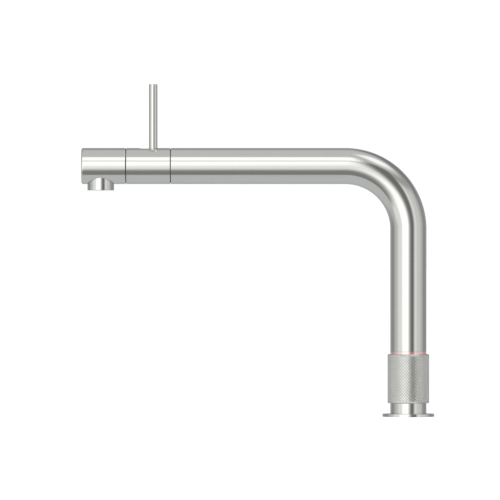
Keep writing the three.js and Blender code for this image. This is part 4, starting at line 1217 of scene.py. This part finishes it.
@dataclass
class Handle:
    """The knurled sleeve."""

    fitter: Fitter
    starts: int = 48
    diamond_height: float = 2.67 * MM
    groove: float = 0.29 * MM
    groove_depth: float = 0.33 * MM
    chamfer: float = 0.65 * MM
    wall: float = 1.7 * MM
    smoothing: float = 12.0
    grid_slack: float = 0.05
    side_slack: float = 0.05 * MM
    upright_slope: float = 0.1
    outer_share: float = 0.99

    def build(self) -> None:
        """Builds the sleeve: a drum whose diamonds are inset, with the grooves between them pressed in."""
        low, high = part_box("knurled_sleeve")
        radius = high.x
        plain = high.z - low.z - 2 * self.chamfer
        rows = 2 * round(plain / self.diamond_height)
        heights = [low.z + self.chamfer + plain * row / rows for row in range(rows + 1)]
        bore, edge = radius - self.wall, radius - self.chamfer
        side = [(radius, height) for height in heights]
        outline = [(bore, low.z), (edge, low.z), *side, (edge, high.z), (bore, high.z)]
        sleeve = Lathe.turned("knurled_grip", outline, TAP.column, 0.0, 2 * self.starts)
        self.cut_diamonds(sleeve, heights, radius)
        self.fitter.fit(
            sleeve, "boiling_handle", "knurled_steel", "knurled_sleeve", smoothing=self.smoothing
        )

    def cut_diamonds(self, sleeve: bpy.types.Object, heights: Sequence[float], radius: float) -> None:
        """Joins the grid's faces into diamonds and cuts the crossed grooves between them.

        Args:
            sleeve: the plain sleeve, with a grid of faces.
            heights: the rows of the grid.
            radius: its radius.
        """
        step = math.pi / self.starts
        first, gap = heights[0], heights[1] - heights[0]
        last = len(heights) - 1

        def crossing(point: Vector, parity: int, rows: range) -> bool:
            """Whether a point is a crossing of the grid that is wanted.

            Args:
                point: the point.
                parity: 1 for the crossings at the grooves, 0 for those inside the diamonds.
                rows: the rows that are wanted.

            Returns:
                Whether it is one.
            """
            rise, turn = (point.z - first) / gap, math.atan2(point.y, point.x) / step
            row, column = round(rise), round(turn)
            on_grid = abs(rise - row) < self.grid_slack and abs(turn - column) < self.grid_slack
            outside = abs(point.xy.length - radius) < self.side_slack
            return on_grid and outside and row in rows and (row + column) % 2 == parity

        Lathe.only(sleeve)
        bpy.ops.object.mode_set(mode="EDIT")
        Lathe.pick(sleeve, lambda point: crossing(point, 1, range(last + 1)))
        bpy.ops.mesh.vert_connect()
        Lathe.pick(sleeve, lambda point: crossing(point, 0, range(1, last)))
        bpy.ops.mesh.dissolve_verts()
        bpy.ops.mesh.select_mode(type="FACE")
        bpy.ops.object.mode_set(mode="OBJECT")
        for face in sleeve.data.polygons:
            upright = abs(face.normal.z) < self.upright_slope
            face.select = upright and face.center.xy.length > self.outer_share * radius
        bpy.ops.object.mode_set(mode="EDIT")
        bpy.ops.mesh.inset(thickness=self.groove, use_individual=True)
        Lathe.pick(sleeve, lambda point: crossing(point, 1, range(1, last)))
        root = 1 - self.groove_depth / radius
        bpy.ops.transform.resize(value=(root, root, 1.0), center_override=(0, 0, 0))
        bpy.ops.object.mode_set(mode="OBJECT")
        # Each vertex's depth into the grooves, which the knurled finish reads for its painted light and
        # shade.
        attribute = sleeve.data.attributes.new(DEPTH, "FLOAT", "POINT")
        for vertex, depth in zip(sleeve.data.vertices, attribute.data):
            if first < vertex.co.z < heights[-1]:
                depth.value = min(1.0, (radius - vertex.co.xy.length) / self.groove_depth)


# ---------------------------------------------------------------------------
# Spout
# ---------------------------------------------------------------------------


@dataclass
class Spout:
    """The bent tube."""

    fitter: Fitter
    skirt: float = 0.5 * MM
    bend_steps: int = 64
    lip_steps: int = 3

    def build(self) -> None:
        """Draws the tube out: up the column, round the bend, along the level run, and back inside."""
        radius, bore = TAP.body_radius, TAP.body_radius - TAP.wall
        foot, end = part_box("spout_tube")[0].z - self.skirt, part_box("spout_tube")[0].x
        lips = [(radius, -2 * TAP.lip), *Lathe.rim(radius, 0.0, TAP.lip, self.lip_steps)]
        tube = Tube("bent_tube", bore + TAP.lip, Vector((0, 0, foot)), Lathe.fine)
        for reach, height in reversed(lips):
            tube.draw(Vector((0, 0, foot - height)), reach)
        tube.draw(Vector((0, 0, TAP.bend_centre.z)))
        tube.swing(TAP.bend_centre, 1, self.bend_steps)
        for reach, height in [*lips, (bore + TAP.lip, 0.0)]:
            tube.draw(Vector((end - height, 0, TAP.spout_height)), reach)
        tube.draw(Vector((end + TAP.lip, 0, TAP.spout_height)), bore)
        tube.draw(Vector((TAP.bend_centre.x, 0, TAP.spout_height)))
        tube.swing(TAP.bend_centre, -1, self.bend_steps)
        tube.draw(Vector((0, 0, foot + TAP.lip)))
        tube.draw(Vector((0, 0, foot)), bore + TAP.lip)
        self.fitter.fit(tube.finish(TAP.column), "spout", "brushed_steel", "spout_tube", self.straighten)

    @staticmethod
    def straighten(point: Vector) -> Vector:
        """The place of a point along and around the tube, as if it were straight.

        Args:
            point: the point.

        Returns:
            Its straightened place.
        """
        centre, bend = TAP.bend_centre, TAP.bend_radius
        across = Vector((point.x - centre.x, point.z - centre.z))
        if across.y <= 0:
            return up(point)
        if across.x <= 0:
            return Vector((centre.z + bend * math.pi / 2 - across.x, point.z - TAP.spout_height, point.y))
        turn = math.atan2(across.y, across.x)
        return Vector((centre.z + bend * turn, across.length - bend, point.y))


# ---------------------------------------------------------------------------
# Spring and hoses
# ---------------------------------------------------------------------------


@dataclass
class Inside:
    """What gives way inside as the tap moves: the spring under the handle and the hoses through the spout."""

    fitter: Fitter
    spring_wire: float = 1.2 * MM
    wire_sides: int = 12
    half_turns: int = 9
    steps_in_half_turn: int = 24
    press: float = 4 * MM
    clear: float = 1.1 * MM
    twist_end: float = 150 * MM
    twist_rings: int = 20
    bend_rings: int = 16
    drop_start: float = 10 * MM
    drop_rings: int = 12
    grip: float = 7 * MM

    def build(self) -> None:
        """Builds the spring and the three hoses."""
        self.spring()
        self.hose("cold_hose", "cold_inlet", 1.2 * MM)
        self.hose("hot_hose", "hot_inlet", 1.2 * MM)
        self.hose("boiling_hose", "boiling_inlet", 0.6 * MM)

    def spring(self) -> None:
        """The coil that lifts the handle: a wire's section screwed up the column, and closed at both ends."""
        low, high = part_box("return_spring")
        wire = self.spring_wire / 2
        place = Vector((high.x - wire, 0, low.z + wire))
        coil = Lathe.circle("lift_spring", wire, place, self.wire_sides, (math.pi / 2, 0, 0))
        bpy.ops.object.mode_set(mode="OBJECT")
        Lathe.bake_place()
        screw = coil.modifiers.new("coil", "SCREW")
        screw.angle = math.pi
        screw.iterations = self.half_turns
        screw.screw_offset = (high.z - low.z - self.spring_wire) / self.half_turns
        screw.steps = self.steps_in_half_turn
        bpy.ops.object.modifier_apply(modifier=screw.name)
        bpy.ops.object.mode_set(mode="EDIT")
        Lathe.close()
        self.fitter.fit(coil, "base", "spring_steel", "return_spring")
        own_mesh(coil)

    def hose(self, node: str, fitting: str, wall: float) -> None:
        """A hose from its fitting up the column and along the spout, which twists as the spout turns.

        Args:
            node: the solid that it stands for.
            fitting: the fitting that it starts from.
            wall: thickness of the hose.
        """
        low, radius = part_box(node)[0], radius_of(fitting)
        foot = Vector((*middle(fitting).xy, low.z))
        twist_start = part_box("signal_lead")[1].z + self.clear
        ring = (self.twist_end - twist_start) / self.twist_rings
        twisted = [twist_start + ring * index for index in range(self.twist_rings + 1)]
        rise = [Vector((*foot.xy, height)) for height in (low.z, *twisted, TAP.bend_centre.z)]
        run = self.level_run(low.x, foot, node == "boiling_hose")
        hose = Tube(f"twisting_{node}", radius, foot, Lathe.small)
        for place in rise[1:]:
            hose.draw(place)
        hose.swing(TAP.bend_centre, 1, self.bend_rings)
        for place in run[1:]:
            hose.draw(place)
        hose.draw(run[-1], radius - wall)
        for place in reversed(run[:-1]):
            hose.draw(place)
        hose.swing(TAP.bend_centre, -1, self.bend_rings)
        for place in reversed(rise[:-1]):
            hose.draw(place)
        hose.draw(foot, radius)
        piece = hose.finish(TAP.column)
        self.fitter.dress(piece, node, node)
        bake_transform(piece)

    def level_run(self, end: float, foot: Vector, falls: bool) -> list[Vector]:
        """The places along the level run of a hose, straight or eased down to the pipe below it.

        Args:
            end: where the hose ends.
            foot: where it starts, on the worktop.
            falls: whether it goes down to the boiling water's pipe.

        Returns:
            The middles of its rings, from the bend on.
        """
        begin, height = TAP.bend_centre.x, TAP.spout_height + foot.x
        if not falls:
            return [Vector((begin, foot.y, height)), Vector((end, foot.y, height))]
        drop = height - (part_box("boiling_pipe")[1].z - TAP.jet_radius)
        start, stop = begin - self.drop_start, end + self.grip
        places = [Vector((begin, foot.y, height))]
        for index in range(self.drop_rings + 1):
            share = index / self.drop_rings
            fallen = drop * (1 - math.cos(math.pi * share)) / 2
            places.append(Vector((start + (stop - start) * share, foot.y, height - fallen)))
        return [*places, Vector((end, foot.y, height - drop))]


# ---------------------------------------------------------------------------
# Head
# ---------------------------------------------------------------------------


@dataclass
class Head:
    """The closed end of the spout, its nozzle and the bushes beside the control ring."""

    fitter: Fitter
    end_rounding: float = 1.5 * MM
    end_steps: int = 8
    end_wall: float = 2.35 * MM
    end_play: float = 0.3 * MM
    end_hold: float = 0.3 * MM
    lip_share: float = 0.3
    nozzle_wall: float = 1.35 * MM
    nozzle_edge: float = 0.35 * MM
    shoulder_depth: float = 7.6 * MM
    neck_step: float = 2.15 * MM
    neck_wall: float = 1.5 * MM
    cup_room: float = 7.9 * MM
    notch: float = 6 * MM
    notch_depth: float = 13.2 * MM
    notch_play: float = 1.0 * MM
    cup_wall: float = 1.4 * MM
    cup_lip: float = 0.8 * MM
    cup_edge: float = 0.2 * MM
    jet_hole: float = 2.1 * MM
    bar: float = 0.45 * MM
    bar_edge: float = 0.1 * MM
    rib_share: float = 0.8
    ribs: int = 18
    rings: int = 3
    jet_wall: float = 0.6 * MM
    jet_bend: float = 4 * MM
    jet_steps: int = 16
    seam_fill: float = 0.6 * MM
    seam_play: float = 0.17 * MM
    bush_wall: float = 0.7 * MM
    bush_edge: float = 0.05 * MM

    def build(self) -> None:
        """Builds the pieces of the head."""
        self.shell()
        self.nozzle()
        self.cup()
        self.screen("aerator_screen")
        self.screen("flow_disc")
        self.jet_pipe()
        self.bush("rear_ring_bush", 1)
        self.bush("front_ring_bush", -1)

    def shell(self) -> None:
        """The closed end, with the hole that the nozzle comes out of."""
        low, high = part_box("head_shell")
        start, end, radius = -high.x, -low.x - self.end_play, TAP.body_radius
        bore, lip, face = radius - TAP.wall, TAP.lip, end - self.end_wall
        rim = Lathe.rim(radius, end, self.end_rounding, self.end_steps)
        outline = [
            (bore, start), (radius - lip, start),
            (radius - lip * self.lip_share, start + lip * self.lip_share), (radius, start + lip),
            (radius, start + 2 * lip), (radius, rim[0][1] - self.end_hold), *rim,
            (rim[-1][0] - self.end_hold, end), (TAP.pinhole, end), (TAP.pinhole, face), (bore, face),
        ]
        shell = Lathe.turned("head_cap", outline, TAP.spout, 0.0, 2 * Lathe.fine)
        bottom, reach = Vector((-TAP.outlet, 0, TAP.spout_height - radius)), Vector((0, 0, radius / 2))
        hole = radius_of("outlet_nozzle") + TAP.fit
        Lathe.drill(shell, hole, bottom - reach, bottom + reach, Lathe.fine)
        self.fitter.fit(shell, "spout", "brushed_steel", "head_shell", along)

    def nozzle(self) -> None:
        """The short outlet, let into the underside of the head, with a notch for what feeds it."""
        low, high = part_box("outlet_nozzle")
        radius = radius_of("outlet_nozzle")
        bore, neck = radius - self.nozzle_wall, radius - self.neck_step
        lining, roof = neck - self.neck_wall, low.z + self.cup_room
        shoulder = TAP.spout_height - self.shoulder_depth
        outline = [
            (bore, low.z), (radius, low.z), (radius, shoulder), (neck, shoulder), (neck, high.z),
            (lining, high.z), (lining, roof), (bore, roof),
        ]
        nozzle = Lathe.turned("outlet_spout", outline, TAP.nozzle, self.nozzle_edge, Lathe.fine)
        notch_low = Vector((-TAP.outlet - self.notch_play, -self.notch, TAP.spout_height - self.notch_depth))
        notch_high = Vector((-TAP.outlet + radius + self.notch_play, self.notch, high.z + 2 * self.notch))
        Lathe.cut(nozzle, Lathe.block(notch_low, notch_high))
        self.fitter.fit(nozzle, "spout", "brushed_steel", "outlet_nozzle", up)

    def cup(self) -> None:
        """The black cup that holds the screens round the jet."""
        low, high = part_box("aerator_cup")
        radius = radius_of("aerator_cup")
        bore = radius - self.cup_wall
        hole, ledge = bore - self.cup_lip, low.z + self.cup_lip
        outline = [
            (hole, low.z), (radius, low.z), (radius, high.z), (bore, high.z), (bore, ledge), (hole, ledge),
        ]
        cup = Lathe.turned("aerator_holder", outline, TAP.nozzle, self.cup_edge)
        self.fitter.fit(cup, "spout", "black_plastic", "aerator_cup")

    def screen(self, node: str) -> None:
        """One screen: rings held by ribs.

        Args:
            node: the solid that it stands for.
        """
        low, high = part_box(node)
        half, thickness = self.bar / 2, (high.z - low.z) * self.rib_share
        inner, outer = self.jet_hole + half, radius_of(node) - half
        parts: list[bpy.types.Object] = []
        for index in range(self.rings + 1):
            way = inner + (outer - inner) * index / self.rings
            outline = [(way - half, low.z), (way + half, low.z), (way + half, high.z), (way - half, high.z)]
            parts.append(Lathe.turned(f"{node}_ring_{index}", outline, TAP.nozzle, self.bar_edge))
        for index in range(self.ribs):
            rib = Lathe.block(Vector((inner, -half, -thickness / 2)), Vector((outer, half, thickness / 2)))
            Lathe.bevel(rib, self.bar_edge)
            rib.rotation_euler.z = 2 * math.pi * index / self.ribs
            rib.location = (-TAP.outlet, 0, middle(node).z)
            Lathe.bake_place()
            parts.append(rib)
        Lathe.only(parts[0])
        for part in parts:
            part.select_set(True)
        bpy.ops.object.join()
        mesh = bpy.context.object
        mesh.name = mesh.data.name = f"{node}_grid"
        self.fitter.fit(mesh, "spout", "black_plastic", node)

    def jet_pipe(self) -> None:
        """The thin steel pipe of the boiling water, with its turn down into the nozzle."""
        low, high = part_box("boiling_pipe")
        radius, height = TAP.jet_radius, high.z - TAP.jet_radius
        start = Vector((high.x, 0, height))
        corner = Vector((-TAP.outlet + self.jet_bend, 0, height))
        centre = corner - Vector((0, 0, self.jet_bend))
        tip = Vector((-TAP.outlet, 0, low.z))
        pipe = Tube("jet_pipe", radius, start, Lathe.small, math.pi / 2)
        pipe.draw(corner)
        pipe.swing(centre, 1, self.jet_steps)
        bend_end = pipe.place
        pipe.draw(tip)
        pipe.draw(tip, radius - self.jet_wall)
        pipe.draw(bend_end)
        pipe.swing(centre, -1, self.jet_steps)
        pipe.draw(start)
        pipe.draw(start, radius)
        self.fitter.fit(pipe.finish(TAP.column), "spout", "spring_steel", "boiling_pipe")

    def bush(self, node: str, inwards: int) -> None:
        """A bush of the control ring, whose flange fills the seam.

        Args:
            node: the solid that it stands for.
            inwards: 1 if its sleeve runs away from the column, -1 if towards it.
        """
        low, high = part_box(node)
        near, far = (-high.x, -low.x) if inwards > 0 else (-low.x, -high.x)
        near -= inwards * self.seam_play
        seam = near + inwards * self.seam_fill
        flange, radius = radius_of(node), TAP.body_radius - TAP.wall - TAP.fit
        bore = radius - self.bush_wall
        outline = [(bore, near), (flange, near), (flange, seam), (radius, seam), (radius, far), (bore, far)]
        bush = Lathe.turned(f"{node}_sleeve", outline, TAP.spout, self.bush_edge, Lathe.fine)
        self.fitter.fit(bush, "spout", "black_plastic", node)


# ---------------------------------------------------------------------------
# Control ring and lever
# ---------------------------------------------------------------------------


@dataclass
class Control:
    """The control ring with its slot, and the lever."""

    fitter: Fitter
    seam_trim: float = 0.05 * MM
    slot_clearance: float = 0.5 * MM
    slot_rear: float = 1.0 * MM
    slot_length: float = 16.7 * MM
    slot_sides: int = 64
    slot_slack: float = 0.01 * MM
    stud_radius: float = 1.9 * MM
    stud_depth: float = 5.2 * MM
    rod_edge: float = 0.4 * MM

    def build(self) -> None:
        """Builds the ring and the lever."""
        self.ring()
        self.lever()

    def ring(self) -> None:
        """The ring, slotted on top."""
        low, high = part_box("control_ring")
        start, end, radius = -high.x - self.seam_trim, -low.x + self.seam_trim, TAP.body_radius
        bore = radius - TAP.wall
        outline = [(bore, start), (radius, start), (radius, end), (bore, end)]
        ring = Lathe.turned("slotted_ring", outline, TAP.spout, TAP.lip, 2 * Lathe.fine)
        half = radius_of("lever_rod") + self.slot_clearance
        rear = -(TAP.lever - radius_of("lever_rod") - self.slot_rear) - half
        bpy.ops.object.select_all(action="DESELECT")
        bpy.ops.mesh.primitive_cylinder_add(
            vertices=self.slot_sides, radius=half, depth=radius, location=(rear, 0, TAP.spout_height + radius)
        )
        cutter = Lathe.new("slot_cutter")
        Lathe.pick(cutter, lambda point: point.x < rear - self.slot_slack)
        bpy.ops.transform.translate(value=(2 * half - self.slot_length, 0, 0))
        bpy.ops.object.mode_set(mode="OBJECT")
        Lathe.cut(ring, cutter)
        self.fitter.fit(ring, "temperature_ring", "brushed_steel", "control_ring", along)

    def lever(self) -> None:
        """The slim lever, hollow below for its stud."""
        low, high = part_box("lever_rod")
        radius, roof, pinhole = radius_of("lever_rod"), low.z + self.stud_depth, TAP.pinhole / 2
        outline = [
            (self.stud_radius, low.z), (radius, low.z), (radius, high.z), (pinhole, high.z), (pinhole, roof),
            (self.stud_radius, roof),
        ]
        rod = Lathe.turned("slim_lever", outline, TAP.stick, self.rod_edge)
        self.fitter.fit(rod, "flow_lever", "brushed_steel", "lever_rod", up)


# ---------------------------------------------------------------------------
# Studio
# ---------------------------------------------------------------------------


@dataclass(frozen=True)
class Span:
    """A stretch of a scale with soft ends: full between them, half at them."""

    start: float
    end: float
    start_softness: float
    end_softness: float

    def mask(self, value: Wire, shift: Wire | float = 0.0) -> Wire:
        """How far a value is inside.

        Args:
            value: the value.
            shift: how far the end is moved along.

        Returns:
            From 0 to 1.
        """
        inside = value.between(self.start - self.start_softness, self.start + self.start_softness)
        ending = value - shift if isinstance(shift, Wire) else value
        return inside * (1 - ending.between(self.end - self.end_softness, self.end + self.end_softness))


@dataclass(frozen=True)
class Panel:
    """A soft panel of the studio, lit or dark, by the directions that it fills, in degrees.

    Azimuth 0 is towards the camera, with the camera's right positive. The level is the grey that satin steel
    shows where it mirrors the panel.
    """

    level: float
    across: Span
    upwards: Span
    slant: float = 0.0

    def mask(self, azimuth: Wire, elevation: Wire) -> Wire:
        """How much of a direction the panel fills.

        Args:
            azimuth: the direction's azimuth.
            elevation: its elevation.

        Returns:
            From 0 to 1.
        """
        shift = elevation * self.slant if self.slant else 0.0
        return self.across.mask(azimuth, shift) * self.upwards.mask(elevation)


@dataclass
class Studio:
    """Soft panels round the tap, a pale floor, and the camera.

    A level is the grey that satin steel shows where it mirrors it. A pair of numbers is where one level goes
    over into the next, on a part of the direction.
    """

    steel: float = STEEL.green
    camera_distance: float = 5.987
    lens: float = 520.0
    picture_width: float = 414.5 * MM
    picture_centre: tuple[float, float] = (-131.3 * MM, 138.1 * MM)
    eye_height: float = 160 * MM
    table: float = 178.0
    far_table: float = 167.0
    open_floor: float = 215.0
    dark_floor: float = 120.0
    ahead: float = 182.0
    round_side: float = 132.0
    behind: float = 148.0
    ceiling: float = 185.0
    warm: Color = Color(1.0, 0.995, 0.985)
    cool: Color = Color(0.965, 1.0, 1.035)
    white: float = 1.03
    horizon: float = -0.09
    horizon_fall: float = 0.46
    horizon_sides: Point = (-0.5, 0.0)
    horizon_top: float = 0.01
    cool_below: Point = (-0.98, -0.7)
    cool_below_share: float = 0.55
    cool_behind: Point = (0.3, 0.8)
    to_sides: Point = (-0.15, 0.5)
    to_behind: Point = (0.5, 0.9)
    to_ceiling: Point = (0.68, 0.95)
    to_far_table: Point = (0.5, 0.8)
    to_open_floor: Point = (0.5, 0.66)
    gap_forward: Span = Span(0.58, 2.3, 0.08, 1.1)
    gap_aside: Point = (-2.6, -1.2)
    gap_slant: float = 0.6
    floor_size: float = 40.0
    floor_drop: float = 0.3 * MM
    floor_color: Color = Color(0.8, 0.8, 0.8)
    floor_glow: float = 1.25
    floor_glow_share: float = 0.8
    clip: Point = (0.1, 100.0)
    panels: tuple[Panel, ...] = (
        Panel(221, Span(-71, -36, 10, 6), Span(-5, 47, 8, 6)),
        Panel(194, Span(36, 80, 5, 5), Span(-24, 30, 5, 5)),
        Panel(215, Span(41, 53, 5, 6), Span(-24, 28, 5, 5)),
        Panel(150, Span(40, 112, 8, 10), Span(32, 43, 4, 4)),
        Panel(105, Span(10, 34, 9, 5.5), Span(-80, 42, 6, 5), 0.2),
        Panel(122, Span(112, 169, 8, 4), Span(21, 53, 5, 5)),
        Panel(264, Span(-41, -0.2, 7, 6.5), Span(-17, 3, 8, 3), 0.4),
        Panel(264, Span(-41, 2, 7, 6.5), Span(2, 29, 4, 3), 0.17),
        Panel(260, Span(-44, 12, 6, 7), Span(34, 57.9, 3.5, 5)),
        Panel(250, Span(38, 100, 12, 20), Span(52, 77, 7, 8)),
    )

    def build(self) -> None:
        """Builds the light, the floor and the camera."""
        self.light()
        self.floor()
        self.camera()

    def radiance(self, grey: float) -> float:
        """The light that makes steel show a grey."""
        return linear(grey) / self.steel

    def light(self) -> None:
        """Fills the world with the panels; the camera itself sees white behind the tap."""
        world = bpy.data.worlds.new("studio")
        world.use_nodes = True
        bpy.context.scene.world = world
        bench = Bench(world.node_tree)
        direction = bench.node("ShaderNodeTexCoord", None, None, "Generated")
        x, y, z = bench.parts(direction)
        degrees = 180 / math.pi
        azimuth = bench.node("ShaderNodeMath", {"operation": "ARCTAN2"}, {0: x, 1: -y}) * degrees
        elevation = bench.node("ShaderNodeMath", {"operation": "ARCSINE"}, {0: z}) * degrees
        horizon = self.horizon - self.horizon_fall * y.between(*self.horizon_sides)
        below = 1 - z.between(horizon, self.horizon_top)
        value = self.over(self.room(y, z), self.ground(x, y, z), below)
        for panel in self.panels:
            value = self.over(value, self.radiance(panel.level), panel.mask(azimuth, elevation))
        coolness = (1 - z.between(*self.cool_below)) * self.cool_below_share
        coolness = self.over(coolness, 1.0, y.between(*self.cool_behind))
        tint = bench.tint(coolness, self.warm, self.cool)
        lit = bench.node("ShaderNodeBackground", None, {"Color": tint, "Strength": value})
        white = bench.node("ShaderNodeBackground", None, {"Color": WHITE.rgba, "Strength": self.white})
        seen = bench.node("ShaderNodeLightPath", None, None, "Is Camera Ray")
        mixed = bench.node("ShaderNodeMixShader", None, {0: seen, 1: lit, 2: white})
        bench.node("ShaderNodeOutputWorld", None, {"Surface": mixed})

    @staticmethod
    def over(below: Wire | float, level: Wire | float, mask: Wire) -> Wire:
        """Lays a level over what is below it."""
        return below + (level - below) * mask

    def room(self, y: Wire, z: Wire) -> Wire:
        """The plain room: pale ahead and above, darker round the sides and behind.

        Args:
            y: the direction's part away from the camera.
            z: its part upwards.

        Returns:
            The room's light.
        """
        sides = y.between(*self.to_sides)
        value = self.over(self.radiance(self.ahead), self.radiance(self.round_side), sides)
        value = self.over(value, self.radiance(self.behind), y.between(*self.to_behind))
        return self.over(value, self.radiance(self.ceiling), z.between(*self.to_ceiling))

    def ground(self, x: Wire, y: Wire, z: Wire) -> Wire:
        """The table under the tap, the dark gap in front of it, and the open floor beyond.

        Args:
            x: the direction's part to the camera's right.
            y: its part away from the camera.
            z: its part upwards.

        Returns:
            The light from below.
        """
        forward, aside = y / z, -(x / z)
        far = y.between(*self.to_far_table)
        value = self.over(self.radiance(self.table), self.radiance(self.far_table), far)
        value = self.over(value, self.radiance(self.open_floor), forward.between(*self.to_open_floor))
        gap = self.gap_forward.mask(forward, self.gap_slant * aside) * aside.between(*self.gap_aside)
        return self.over(value, self.radiance(self.dark_floor), gap)

    def floor(self) -> None:
        """A pale floor that only the camera sees, and only from above."""
        bpy.ops.object.select_all(action="DESELECT")
        bpy.ops.mesh.primitive_plane_add(size=self.floor_size, location=(0, 0, -self.floor_drop))
        plane = bpy.context.object
        plane.name = "pale_floor"
        made = bpy.data.materials.new("pale_floor")
        made.use_nodes = True
        bench = Bench(made.node_tree)
        matt = bench.node("ShaderNodeBsdfDiffuse", None, {"Color": self.floor_color.rgba})
        glow = bench.node("ShaderNodeEmission", None, {"Color": WHITE.rgba, "Strength": self.floor_glow})
        lit = bench.node("ShaderNodeMixShader", None, {0: self.floor_glow_share, 1: matt, 2: glow})
        clear = bench.node("ShaderNodeBsdfTransparent")
        under = bench.node("ShaderNodeNewGeometry", None, None, "Backfacing")
        mixed = bench.node("ShaderNodeMixShader", None, {0: under, 1: lit, 2: clear})
        bench.node("ShaderNodeOutputMaterial", None, {"Surface": mixed})
        plane.data.materials.append(made)
        plane.visible_glossy = False
        plane.visible_diffuse = False
        plane.visible_shadow = False

    def camera(self) -> None:
        """A long lens, held level a little above the tap's middle, framed as the photograph is."""
        data = bpy.data.cameras.new("camera")
        camera = bpy.data.objects.new("camera", data)
        bpy.context.scene.collection.objects.link(camera)
        data.lens = self.lens
        data.sensor_width = self.picture_width * self.lens / self.camera_distance
        data.clip_start, data.clip_end = self.clip
        across, height = self.picture_centre
        camera.location = (across, -self.camera_distance, self.eye_height)
        camera.rotation_euler = (math.pi / 2, 0, 0)
        data.shift_y = (height - self.eye_height) / self.picture_width
        bpy.context.scene.camera = camera
        bpy.context.scene.view_settings.view_transform = "Standard"


def main() -> None:
    """Builds the studio and the tap, piece by piece."""
    logging.basicConfig(level=logging.INFO, format="%(name)s: %(message)s")
    Studio().build()
    paintbox = Paintbox()
    paintbox.dress_solids()
    fitter = Fitter(paintbox)
    for section in (Base, Handle, Spout, Inside, Head, Control):
        section(fitter).build()
        LOG.info("%s built", section.__name__)


if __name__ == "__main__":
    main()
